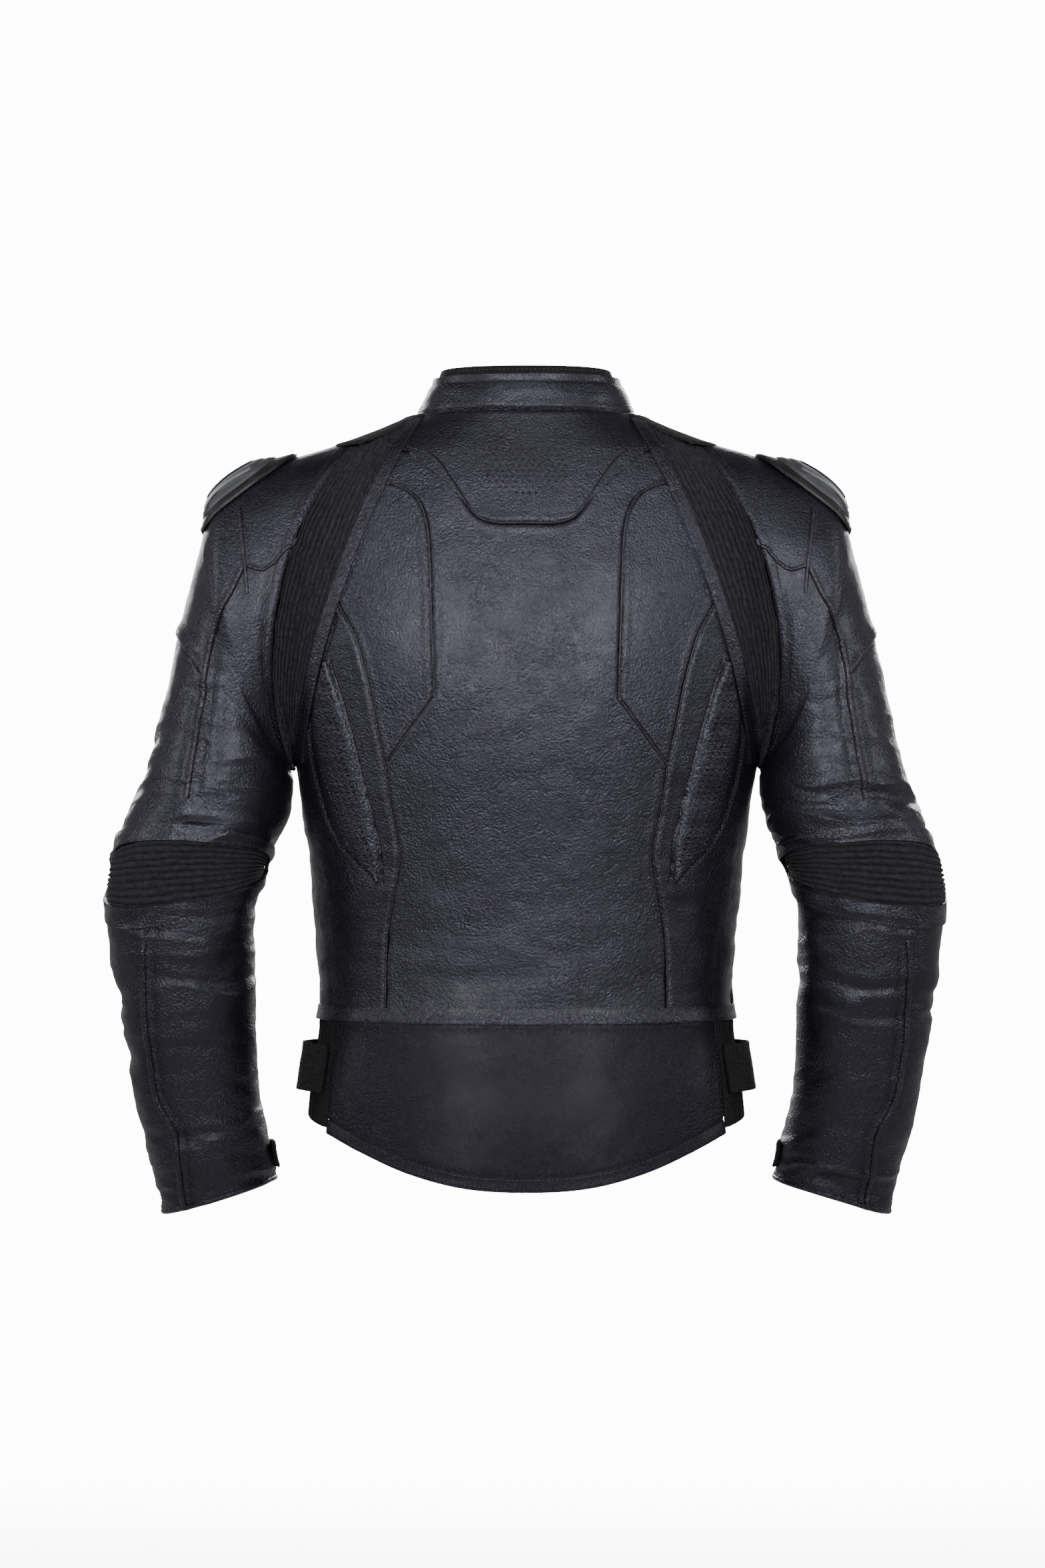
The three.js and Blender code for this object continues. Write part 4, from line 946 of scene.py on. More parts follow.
def seam_ridge(grid):
    """Leather stands up along the seams down the back of the arm and puckers beside them."""
    turn, ring, p = grid["a"], grid["b"], grid["p"]
    ridge = 0
    for line in (upper_back_seam, forearm_seam):
        order = np.argsort(line[:, 1])
        at = np.interp(ring, line[order, 1], line[order, 0])
        inside = np.clip((ring - line[:, 1].min() + 0.2) * 4, 0,
                         1) * np.clip((line[:, 1].max() + 0.2 - ring) * 4, 0, 1)
        d = (turn - at) * 0.95
        pucker = ripple(p, 75, (0.35, 0.35, 1.3), 12.0, 2)
        ridge = ridge + inside * (1.5 * bell(d, 3.6) - 0.7 * bell(np.abs(d) - 7, 3.0)
                                  + 0.9 * pucker * bell(d, 10))
    return ridge


def arm_relief(side):
    def relief(grid):
        p, ring = grid["p"], grid["b"]
        strength = (1.3 + 3.2 * bell(ring - 10.7, 1.3) + 1.9 * bell(ring - 14.1, 0.9)
                    + 2.8 * bell(ring - 16.9, 0.8))
        swell = 1.3 * ripple(p, 13, (1, 1, 1), 9.0 * side)
        folds = strength * sleeve_folds(p, side, 1.0, 18, 4.0)
        dents = 0.8 * ripple(p, 34, (0.6, 0.6, 1.3), 7.0 * side, 3)
        return MM * (swell + folds + dents + seam_ridge(grid))
    return relief


def outer_half(turn):
    """1 on the outside of the arm, fading to 0 behind the seam down its back."""
    wrapped = np.where(turn > 270, turn - 360, turn)
    return np.clip((68 - wrapped) / 8, 0, 1) * np.clip((wrapped + 80) / 8, 0, 1)


def shoulder_relief(side):
    def relief(grid):
        p, ring = grid["p"], grid["b"]
        low = np.clip((ring - 5.2) / 2.4, 0, 1)
        outside = np.cos(np.radians(grid["a"] - 20)) > 0
        lip = 2.4 * bell(ring - BICEPS + 0.12, 0.16) * (0.4 + 0.6 * outside)
        under_arm = np.clip((grid["u"] - 0.28) * 4, 0, 1) * (grid["u"] < 0.85)
        armpit_folds = 3.0 * ripple(p, 20, (0.7, 0.7, 1.3), 5.0 * side, 3) * under_arm
        own = MM * (1.2 * ripple(p, 14, (1, 1, 1), 3.0 * side) + low * sleeve_folds(p, side, 2.0)
                    + armpit_folds
                    + 0.3 * ripple(p, 45, (1, 1, 1), 4.0 * side))
        share = np.clip((ring - 5.6) / 1.9, 0, 1)
        d = grid["edges"]["b"] / MM
        return (own * (1 - share) + arm_relief(side)(grid) * share
                + MM * outer_half(grid["a"]) * (lip - 1.3 * bell(d, 1.6)))
    return relief


for side, hand in SIDES:
    cap = lay_panel(
        "shoulder_panel_" + hand, on_sleeve,
        lambda u, v: (360 * u, (1.02 + 0.3 * armpit(360 * u)) * (1 - v) + (BICEPS + 0.03) * v),
        170, 84, sleeve_axis, shoulder_relief(side), turned="t", side=side, closed=True)
    dress(cap, hide)
    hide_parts("shoulder_panel_" + hand)
    bend_shoulder(cap, side, hand)

# ---- Upper sleeves
# Leather from the biceps seam to the elbow, creased where the arm bends. The folds run on over the elbow
# and the forearm, so all of these share them.
for side, hand in SIDES:
    arm = lay_panel("upper_sleeve_" + hand, on_sleeve,
                    lambda u, v: (360 * u, BICEPS * (1 - v) + ELBOW_TOP * v),
                    186, 84, sleeve_axis,
                    lambda grid: arm_relief(side)(grid)
                    - MM * 1.3 * outer_half(grid["a"]) * bell(grid["edges"]["t"] / MM, 1.6),
                    turned="", side=side, closed=True)
    dress(arm, hide)
    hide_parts("upper_sleeve_" + hand)
    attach(arm, "upper_arm_" + hand)

# ---- Elbows
# Behind each elbow a lens of pleated cloth lets the arm bend. Leather frames it above and below, and meets
# itself in a crease in the crook of the arm.
ELBOW_MID = 11.9
LENS_FROM, LENS_TO = -16, 184


def lens(turn):
    return np.sin(np.pi * np.clip((turn - LENS_FROM) / (LENS_TO - LENS_FROM), 0, 1)) ** 0.45


def elbow_edge(turn, part):
    wrapped = np.where(turn > 270, turn - 360, turn)
    size = lens(wrapped)
    sag = 0.16 * np.cos(np.radians(np.clip(wrapped, 0, 180)))
    return ELBOW_MID + sag - size * 0.74 if part == "top" else ELBOW_MID + sag + size * 0.64


def lens_corners(u, v):
    turn = LENS_FROM + (LENS_TO - LENS_FROM) * v
    return turn, elbow_edge(turn, "top") * (1 - u) + elbow_edge(turn, "bottom") * u


def pleat_relief(side):
    """Deep pleats across the elbow that die out at both points of the lens."""
    def relief(grid):
        waver = 0.2 * ripple(grid["p"], 70, (1, 1, 1), 3.0 * side)
        pleat = np.abs(np.sin(math.pi * (grid["u"] * 9.5 + waver))) ** 0.75
        tuck = 0.35 * ripple(grid["p"], 230, (1, 1, 1), 8.0 * side)
        return MM * (3.2 * pleat - 1.4 + tuck) * np.clip(lens(grid["a"]) * 2, 0.2, 1)
    return relief


for side, hand in SIDES:
    pleats = lay_panel("elbow_stretch_" + hand, on_sleeve, lens_corners, 100, 110, sleeve_axis,
                       pleat_relief(side),
                       turned="", side=side, wall=1.0, lift=0.2)
    dress(pleats, pleated)
    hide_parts("elbow_stretch_" + hand)
    bend_elbow(pleats, side, hand)
    for part, start, stop in (("top", ELBOW_TOP, "edge"), ("bottom", "edge", ELBOW_BOTTOM)):
        band = lay_panel(
            f"elbow_{part}_{hand}", on_sleeve,
            lambda u, v, part=part: (360 * u, (ELBOW_TOP * (1 - v) + elbow_edge(360 * u, "top") * v)
                                     if part == "top"
                                     else (elbow_edge(360 * u, "bottom") * (1 - v) + ELBOW_BOTTOM * v)),
            190, 40, sleeve_axis, arm_relief(side), turned="b" if part == "top" else "t", side=side,
                         closed=True)
        dress(band, hide)
        if part == "top":
            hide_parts("elbow_inner_" + hand)
        bend_elbow(band, side, hand)

# ---- Forearms
# Leather from the elbow to the cuff, rucked at the wrist. It is closed by a seam down the back and sewn to
# the elbow band above.
for side, hand in SIDES:
    forearm = lay_panel("lower_sleeve_" + hand, on_sleeve,
                        lambda u, v: (360 * u, ELBOW_BOTTOM * (1 - v) + CUFF * v),
                        180, 130, sleeve_axis, arm_relief(side), turned="b", side=side, closed=True)
    dress(forearm, hide)
    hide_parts("lower_sleeve_" + hand)
    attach(forearm, "forearm_" + hand)

# ---- Thread, piping and bindings
# Panels are sewn with black bonded thread, twice along most seams. Piping and bound edges are strips of the
# same leather rolled round a cord.
def thread_black(name):
    material = bpy.data.materials.new(name)
    material.use_nodes = True
    tree = material.node_tree
    surface = tree.nodes["Principled BSDF"]
    where = wired(tree, "ShaderNodeTexCoord").outputs["Object"]
    twist = wired(tree, "ShaderNodeTexNoise", {"Vector": where, "Scale": 2600, "Detail": 2})
    tint = ramp(tree, twist.outputs["Fac"], [(0.3, (0.014, 0.014, 0.016)), (0.7, (0.045, 0.046, 0.050))])
    tree.links.new(tint.outputs["Color"], surface.inputs["Base Color"])
    surface.inputs["Roughness"].default_value = 0.5
    bump = wired(tree, "ShaderNodeBump", {"Height": twist.outputs["Fac"], "Strength": 0.5,
                                          "Distance": 0.0002})
    tree.links.new(bump.outputs[0], surface.inputs["Normal"])
    return material


thread = thread_black("bonded_thread")


def surface_of(*pieces):
    """One tree of surfaces to drop thread and beads on."""
    joined_bm = bmesh.new()
    for piece in pieces:
        joined_bm.from_mesh(piece.data)
    tree = BVHTree.FromBMesh(joined_bm)
    joined_bm.free()
    return tree


def settle(points, normals, tree, lift=0.0):
    """Points dropped on to a surface from outside."""
    out_p, out_n = [], []
    for p, n in zip(points, normals):
        p, n = Vector(p), Vector(n).normalized()
        hit, normal, _, _ = tree.ray_cast(p + n * 0.014, -n, 0.030)
        if hit is None:
            hit, normal = p, n
        out_p.append(np.array(hit) + np.array(n) * lift)
        out_n.append(np.array(normal if normal.dot(n) > 0.2 else n))
    return np.array(out_p), np.array(out_n)


def spaced(points, pitch):
    step = np.r_[0, np.cumsum(np.linalg.norm(np.diff(points, axis=0), axis=1))]
    at = np.arange(pitch / 2, step[-1], pitch)
    return step, at


def stitch(name, rows, tree, pitch=3.6, length=2.6, radius=0.34):
    """Rows of stitches, each a short plump thread that dips at both ends, dropped on to the surface."""
    all_rows = bmesh.new()
    for points, normals in rows:
        step, at = spaced(points, pitch * MM)
        p = np.stack([np.interp(at, step, points[:, c]) for c in range(3)], -1)
        n = np.stack([np.interp(at, step, normals[:, c]) for c in range(3)], -1)
        p, n = settle(p, n, tree)
        bm = bmesh.new()
        for k in range(len(p)):
            a, b = p[max(k - 1, 0)], p[min(k + 1, len(p) - 1)]
            along = Vector(b - a).normalized()
            up = (Vector(n[k]) - along * Vector(n[k]).dot(along)).normalized()
            beside = up.cross(along)
            turn = Matrix((beside, along, up)).transposed().to_4x4()
            place = Matrix.Translation(Vector(p[k]) + up * 0.05 * MM) @ turn @ Matrix.Diagonal(
                (radius * MM, length / 2 * MM, radius * 0.8 * MM, 1))
            bmesh.ops.create_uvsphere(bm, u_segments=6, v_segments=4, radius=1, matrix=place)
        row_mesh = bpy.data.meshes.new("row")
        bm.to_mesh(row_mesh)
        bm.free()
        all_rows.from_mesh(row_mesh)
        bpy.data.meshes.remove(row_mesh)
    mesh = bpy.data.meshes.new(name)
    all_rows.to_mesh(mesh)
    all_rows.free()
    mesh.shade_smooth()
    piece = bpy.data.objects.new(name, mesh)
    bpy.context.scene.collection.objects.link(piece)
    dress(piece, thread)
    return piece


def inset(name, border, distance):
    """A line on a sewn panel at a distance in from a border, with the way out of the skin along it."""
    grid = sewn[name]
    if border in "tb":
        edges, q, n = grid["edges"][border].T, grid["q"].transpose(1, 0, 2), grid["n"].transpose(1, 0, 2)
    else:
        edges, q, n = grid["edges"][border], grid["q"], grid["n"]
    points, normals = [], []
    for d, pp, nn in zip(edges, q, n):
        order = np.argsort(d)
        if d.max() < distance * MM * 1.4:
            continue
        points.append([np.interp(distance * MM, d[order], pp[order, c]) for c in range(3)])
        normals.append([np.interp(distance * MM, d[order], nn[order, c]) for c in range(3)])
    hand = np.array((grid["side"], 1, 1))
    return np.array(points) * hand, np.array(normals) * hand


def bead(name, lines, radius, material, closed=False, resolution=2):
    """A round bead of leather along lines of points."""
    curve = bpy.data.curves.new(name, "CURVE")
    curve.dimensions, curve.use_fill_caps = "3D", True
    curve.bevel_depth, curve.bevel_resolution = radius * MM, resolution
    for line in lines:
        spline = curve.splines.new("POLY")
        spline.points.add(len(line) - 1)
        spline.points.foreach_set("co", np.c_[line, np.ones(len(line))].ravel())
        spline.use_cyclic_u = closed
    holder = bpy.data.objects.new(name, curve)
    bpy.context.scene.collection.objects.link(holder)
    mesh = bpy.data.meshes.new_from_object(holder.evaluated_get(bpy.context.evaluated_depsgraph_get()))
    bpy.data.objects.remove(holder)
    bpy.data.curves.remove(curve)
    mesh.name = name
    mesh.shade_smooth()
    piece = bpy.data.objects.new(name, mesh)
    bpy.context.scene.collection.objects.link(piece)
    dress(piece, material)
    return piece


# ---- Stitching and piping of the back
# The yoke, blade and side panels are top-stitched beside their seams, and the tail has a double row at its
# hem. A thin rolled cord of leather lies sunk in each seam.
back_tree = surface_of(yoke, centre, tail, *(made(n + h) for n in ("blade_panel_", "side_back_")
                                             for h in ("right", "left")))
back_rows = [inset("back_yoke", "b", 3), inset("back_yoke", "b", 7.5), inset("tail_panel", "b", 3.2),
             inset("tail_panel", "b", 10), inset("tail_panel", "l", 3), inset("tail_panel", "r", 3)]
for hand in ("right", "left"):
    for border, far in (("l", 3), ("r", 3), ("l", 7)):
        back_rows.append(inset("blade_panel_" + hand, border, far))
    back_rows.append(inset("side_back_" + hand, "l", 3))
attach(stitch("stitches_back", back_rows, back_tree), "body")


def trunk_path(line, side=1):
    """A line of turns and heights as points on the trunk, with the way out of it at each."""
    p, n = steps_of(on_trunk, line[:, 0], line[:, 1])
    n *= np.where((n * (p - trunk_axis(line[:, 0], line[:, 1]))).sum(-1, keepdims=True) < 0, -1, 1)
    hand = np.array((side, 1, 1))
    return p * hand, n * hand


PIPING_SUNK = 0.75
piping_lines = []
for seam, side in [(l, k) for l in (blade_inner, outer_seam, princess) for k in (1, -1)] + [(yoke_bottom, 1)]:
    path, normals = trunk_path(seam, side)
    piping_lines.append(path - normals * PIPING_SUNK * MM)
piping = bead("back_piping", piping_lines, 0.95, hide_edge)
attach(piping, "body")

# ---- Pad outlines
# A row of stitches goes through the panel and the foam all round each leaf, and holds it down.
leaf_axis = np.array(PAD_AXIS, float)
leaf_rows = np.c_[-leaf_axis[:, 1] * long, leaf_axis[:, 0] * wide, PAD_HALF]
down_leaf = np.linspace(leaf_rows[0, 0] + 1, leaf_rows[-1, 0] - 1, 80)
leaf = smooth_rows(leaf_rows, down_leaf)
pad_rows = []
for side in (1, -1):
    for edge in (-1, 1):
        x = (leaf[:, 0] + edge * (np.maximum(leaf[:, 1], 0.4) + 2.6)) * MM
        z = -down_leaf * MM
        x = np.minimum(x, trunk_oval(z)[0] * 0.985)
        pad_rows.append(trunk_path(np.stack([trunk_turn(x, z), z], -1), side))
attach(stitch("stitches_pads", pad_rows, back_tree, pitch=3.2), "body")

# ---- Straps along the raglan seams
# A folded strap of leather covers each raglan seam on the trunk's side, from the neck to under the arm. It
# is stitched down along both edges.
def offset_line(points, distance):
    p = np.array(points, float)
    d = np.gradient(p, axis=0)
    d /= np.linalg.norm(d, axis=1, keepdims=True)
    return p + np.stack([d[:, 1], -d[:, 0]], -1) * distance


strap_z = np.linspace(-3, -286, 110)
strap_path = np.c_[np.interp(-strap_z, -raglan[:, 1], raglan[:, 0]), strap_z]
strap_in = offset_line(strap_path, 8.5)
strap_out = offset_line(strap_path, -1.0)
for side, hand in SIDES:
    strap = lay_panel("raglan_strap_" + hand, on_trunk, between(
        seam_line(strap_in, 140, smooth=False), seam_line(strap_out, 140, smooth=False)), 12, 200, trunk_axis,
        lambda grid: MM * 0.9 * ripple(grid["p"], 9, (1, 1, 0.8), 2.0), turned="", lift=1.5, side=side,
                      wall=1.9)
    dress(strap, hide_edge)
    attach(strap, "body")
    stitched = stitch("stitches_raglan_" + hand, [inset("raglan_strap_" + hand, "l", 1.8),
                                                  inset("raglan_strap_" + hand, "r", 2.2)], surface_of(strap))
    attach(stitched, "body")

# ---- Waist seam
# The back ends in a folded edge of leather that stands a little over the top of the tail and the hips, held
# by one row of stitches.
def waist_fold(start, end, name):
    fold = lay_panel(name, on_trunk, lambda u, v: (start + (end - start) * u,
                                                   waist_z + 0.0095 * (1 - v) - 0.0025 * v),
                     int(abs(end - start) * 1.4), 12, trunk_axis,
                     lambda grid: MM * (0.6 + 1.9 * grid["v"] ** 1.5
                                        - 1.2 * np.clip(grid["v"] - 0.86, 0, 1) * 7 * 0.5
                                        + 1.1 * ripple(grid["p"], 26, (0.5, 0.5, 0.2), 5.0)), turned="",
                     wall=1.6)
    dress(fold, hide_edge)
    return fold


fold_back = waist_fold(-90, 90, "waist_fold_back")
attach(fold_back, "body")
stitched = stitch("stitches_waist", [inset("waist_fold_back", "t", 3)], surface_of(fold_back))
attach(stitched, "body")

# ---- Collar
# A short stand of leather sewn round the neck, with a soft black stretch lining that stands above it. Each
# half bends with its front at the fold line.
COLLAR_HEIGHT, COLLAR_TOP_HALF, COLLAR_LEAN = 29, 76, 7


def neck_foot(angle):
    beyond = np.radians(np.clip(np.abs(angle) - 90, 0, 90))
    half0 = trunk_oval(np.zeros_like(beyond))[0]
    x_front = half0 * np.cos(beyond)
    z_front = -0.078 * long * np.sin(beyond)
    back = on_trunk(np.clip(angle, -90, 90), 0 * angle)
    front = np.stack([x_front * np.sign(angle), trunk_y(x_front, z_front, True), z_front], -1)
    return np.where((np.abs(angle) <= 90)[..., None], back, front)


def on_collar(angle, up):
    foot = neck_foot(angle)
    a = np.radians(angle)
    side2 = np.sin(a) ** 2
    lean = (COLLAR_LEAN * deep * (1 - side2) + (90 - COLLAR_TOP_HALF) * wide * side2) * MM
    radial = np.stack([np.sin(a), -np.cos(a), 0 * a], -1)
    bulge = 1.5 * MM * np.sin(np.pi * np.clip(up, 0, 1))
    rise = np.stack([0 * a, 0 * a, COLLAR_HEIGHT * MM * up], -1)
    return foot - radial * (lean * up - bulge)[..., None] + rise


def collar_axis(a, b):
    return np.stack([0 * a, 0 * a + 0.068 * deep, 0 * a], -1) * np.array((1, 1, 0)) + np.stack(
        [0 * a, 0 * a, on_collar(a, b)[..., 2]], -1)


soft_black = ribbed("collar_lining_cloth", 0, tone=(0.006, 0.006, 0.007))
COLLAR_END, COLLAR_JOIN = 170.5, 98


def collar_relief(side):
    def relief(grid):
        p = grid["p"] * np.array((side, 1, 1))
        from_top = grid["edges"]["t"] / MM
        waves = 0.8 * ripple(p, 20, (1, 1, 1), 2.0) + 0.7 * ripple(p, 50, (0.5, 0.5, 1.5), 3.0)
        return MM * (waves + 1.0 * bell(from_top, 2.4) - 0.7 * bell(from_top - 5.6, 1.3))
    return relief


def lining_relief(side):
    def relief(grid):
        return MM * (-3.0 + 0.8 * np.clip(1 - grid["v"] * 8, 0, 1)
                     + 0.5 * ripple(grid["p"] * np.array((side, 1, 1)), 20, (1, 1, 1), 5.0))
    return relief


collar_parts = (("collar_back", -COLLAR_JOIN, COLLAR_JOIN, 1, 190),
                ("collar_front_right", COLLAR_JOIN, COLLAR_END, 1, 70),
                ("collar_front_left", COLLAR_JOIN, COLLAR_END, -1, 70))
for name, start, stop, side, columns in collar_parts:
    stand = lay_panel(name, on_collar, lambda u, v: (start + (stop - start) * u, 1 - v * 1.02), columns, 26,
                      collar_axis,
                      collar_relief(side), turned="b", side=side, wall=2.2)
    dress(stand, hide)
    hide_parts(name)
    inner = lay_panel("lining_" + name, on_collar,
                      lambda u, v: (start + (stop - start) * u, 1.27 - v * 1.35), columns, 22,
                      collar_axis, lining_relief(side), turned="", side=side, wall=1.8)
    dress(inner, soft_black)
    rows = stitch("stitches_" + name, [inset(name, "t", 5.6), inset(name, "b", 3.2), inset(name, "b", 6.4)],
                  surface_of(stand))
    top_rows = stitch("stitches_lining_" + name, [inset("lining_" + name, "t", 3)], surface_of(inner))
    for piece in (stand, inner, rows, top_rows):
        if name == "collar_back":
            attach(piece, "body")
        else:
            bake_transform(piece, "body", name.replace("collar_", ""), start=(side * 0.095, 0.112, 0),
                     end=(side * 0.075, 0.142, 0))

# ---- Hook-and-loop cloth
# Dense black loop pile on a woven tape. The straps at the waist and the tabs at the cuffs are cut from it
# and sewn on.
def pile(name):
    material = ribbed(name, 0, tone=(0.0045, 0.0045, 0.005))
    tree = material.node_tree
    surface = tree.nodes["Principled BSDF"]
    where = wired(tree, "ShaderNodeTexCoord").outputs["Object"]
    loops = wired(tree, "ShaderNodeTexVoronoi", {"Vector": where, "Scale": 900})
    lump = wired(tree, "ShaderNodeBump", {"Height": loops.outputs["Distance"], "Strength": 1.0,
                                          "Distance": 0.0012})
    tree.links.new(lump.outputs[0], surface.inputs["Normal"])
    surface.inputs["Sheen Weight"].default_value = 0.04
    return material


loop_pile = pile("loop_pile")

# ---- Waist adjusters
# A strap of loop tape runs from under the tail round each hip, standing off at the side. A leather-backed
# tab sewn to the front grips it from outside.
STRAP_DROP, STRAP_WIDTH = 537, 39
strap_z0, strap_z1 = (-STRAP_DROP + STRAP_WIDTH / 2) * MM * long, (-STRAP_DROP - STRAP_WIDTH / 2) * MM * long


def hip_turn(x, front):
    return float(trunk_turn(np.array([x * MM * wide]), np.array([-STRAP_DROP * MM * long]), front)[0])


for side, hand in SIDES:
    start, stop = hip_turn(161.5, False), hip_turn(134, True)
    rear = lay_panel("rear_strap_" + hand, on_trunk,
                     lambda u, v: (start + (stop - start) * u, strap_z0 * (1 - v) + strap_z1 * v), 110, 26,
                     trunk_axis,
                     lambda grid: MM * (4.0 + 7.0 * bell(grid["a"] - 85, 14)
                                        + 0.5 * ripple(grid["p"], 30, (1, 1, 1), side)
                                        + 0.35
                                        * (bell(grid["v"] - 0.06, 0.04) + bell(grid["v"] - 0.94, 0.04))),
                     turned="", side=side, wall=2.0)
    dress(rear, loop_pile)
    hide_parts("rear_strap_" + hand)
    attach(rear, "body")
    root = hip_turn(118, True)

    def tab_corners(u, v):
        end = 115 + 3.5 * (2 * np.abs(v - 0.5)) ** 4
        return end + (root - end) * u, strap_z0 * (1 - v) + strap_z1 * v

    tab = lay_panel("waist_tab_" + hand, on_trunk, tab_corners, 60, 26, trunk_axis,
                    lambda grid: MM * (7.0 + 0.3 * ripple(grid["p"], 40, (1, 1, 1), side)), turned="ltb",
                    turn_depth=0.7,
                    side=side, wall=1.5)
    dress(tab, hide_edge)
    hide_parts("waist_tab_" + hand)
    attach(tab, "waist_tab_" + hand)
    tab_rows = stitch("stitches_waist_tab_" + hand, [inset("waist_tab_" + hand, b, 2.6) for b in "ltb"],
                      surface_of(tab))
    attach(tab_rows, "waist_tab_" + hand)

# ---- Seams of the sleeves
# Each sleeve has a raised, double-stitched seam down its back, a seam across the shoulder blade's end of
# the cap, and a turned edge round the biceps.


def along_surface(path, normals, tree, beside=0.0, lift=0.0):
    """The path dropped on to a surface, moved sideways over it."""
    p, n = settle(path, normals, tree)
    t = np.gradient(p, axis=0)
    t /= np.linalg.norm(t, axis=1, keepdims=True) + 1e-12
    across = np.cross(t, n)
    p, n = settle(p + across * beside * MM, n, tree, lift * MM)
    for _ in range(2):
        p[1:-1] = (p[:-2] + 2 * p[1:-1] + p[2:]) / 4
    return p, n


def sleeve_path(line, side):
    p, n = steps_of(on_sleeve, line[:, 0], line[:, 1])
    n *= np.where((n * (p - sleeve_axis(line[:, 0], line[:, 1]))).sum(-1, keepdims=True) < 0, -1, 1)
    return p * np.array((side, 1, 1)), n * np.array((side, 1, 1))


def raised_seam(name, line, side, tree, bend, radius=1.3, rows=(-2.6, 2.6, 5.4)):
    """A corded ridge along a sleeve seam, with rows of stitches beside it."""
    path, normals = sleeve_path(line, side)
    ridge = bead(name, [along_surface(path, normals, tree, 0, 0.25)[0]], radius, hide_edge)
    rows = stitch("stitches_" + name, [along_surface(path, normals, tree, side * d) for d in rows], tree)
    for piece in (ridge, rows):
        bend(piece)


for side, hand in SIDES:
    cap_tree = surface_of(made("shoulder_panel_" + hand))
    arm_tree = surface_of(made("shoulder_panel_" + hand), made("upper_sleeve_" + hand))
    fore_tree = surface_of(made("lower_sleeve_" + hand))

    def at_shoulder(piece, side=side, hand=hand):
        bend_shoulder(piece, side, hand)

    def on_upper(piece, hand=hand):
        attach(piece, "upper_arm_" + hand)

    def on_forearm(piece, hand=hand):
        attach(piece, "forearm_" + hand)

    raised_seam("cap_seam_" + hand, shoulder_back_seam, side, cap_tree, at_shoulder, 1.8, (-3.2, 3.2))
    raised_seam("cap_band_" + hand, band_seam, side, cap_tree, at_shoulder, 1.8, (-3.2, 3.2))
    raised_seam("sleeve_seam_" + hand, upper_back_seam, side, arm_tree, on_upper, 2.6, (-4.2, 4.2, 7))
    raised_seam("forearm_seam_" + hand, forearm_seam, side, fore_tree, on_forearm, 2.6, (-4.2, 4.2, 7))
    turns = np.linspace(-70, 60, 200)
    edge_rows = []
    for ring in (BICEPS - 0.10, BICEPS - 0.24):
        path, normals = sleeve_path(np.stack([turns, np.full(200, ring)], -1), side)
        edge_rows.append(along_surface(path, normals, cap_tree))
    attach(stitch("stitches_biceps_" + hand, edge_rows, cap_tree), "upper_arm_" + hand)

# ---- Straps along the sleeves' side of the accordion strips
# The leather of each cap is folded back along the stretch strip and stitched down twice, which leaves a
# small step where the fold ends.
def ring_beyond(turns, ring, distance):
    """The ring whose skin is so many millimetres further down the sleeve."""
    gap = np.linalg.norm(on_sleeve(turns, ring + 0.25) - on_sleeve(turns, ring), axis=-1) / MM
    return ring + 0.25 * distance / np.maximum(gap, 2.0)


for side, hand in SIDES:
    cap_tree = surface_of(made("shoulder_panel_" + hand))
    turns = np.linspace(14, 150, 260)
    ring = 1.02 + 0.3 * armpit(turns)
    hem_rows = []
    for distance in (2.4, 9.0):
        path, normals = sleeve_path(np.stack([turns, ring_beyond(turns, ring, distance)], -1), side)
        hem_rows.append(along_surface(path, normals, cap_tree))
    path, normals = sleeve_path(np.stack([turns, ring_beyond(turns, ring, 11.4)], -1), side)
    step_edge = bead("cap_strap_edge_" + hand, [along_surface(path, normals, cap_tree, 0, -0.35)[0]], 0.8,
                     hide_edge)
    bend_shoulder(step_edge, side, hand)
    bend_shoulder(stitch("stitches_cap_strap_" + hand, hem_rows, cap_tree), side, hand)

# ---- Elbow arcs
# Folded straps of leather run along both edges of each pleated lens, lie over the bands and are stitched
# twice.
for side, hand in SIDES:
    for part, way in (("top", -1), ("bottom", 1)):
        def arc(u, v, part=part, way=way):
            turns = LENS_FROM + (LENS_TO - LENS_FROM) * u
            rim = elbow_edge(turns, part)
            return turns, rim + way * (v * 0.36 - 0.03)

        strap = lay_panel(f"elbow_strap_{part}_{hand}", on_sleeve, arc, 200, 12, sleeve_axis,
                          lambda grid: MM * 2.3 + arm_relief(side)(grid),
                          turned="", side=side, wall=3.2)
        dress(strap, hide_edge)
        bend_elbow(strap, side, hand)
        rows = stitch(f"stitches_elbow_{part}_{hand}",
                      [inset(f"elbow_strap_{part}_{hand}", b, 2.0) for b in "tb"],
                      surface_of(strap))
        bend_elbow(rows, side, hand)

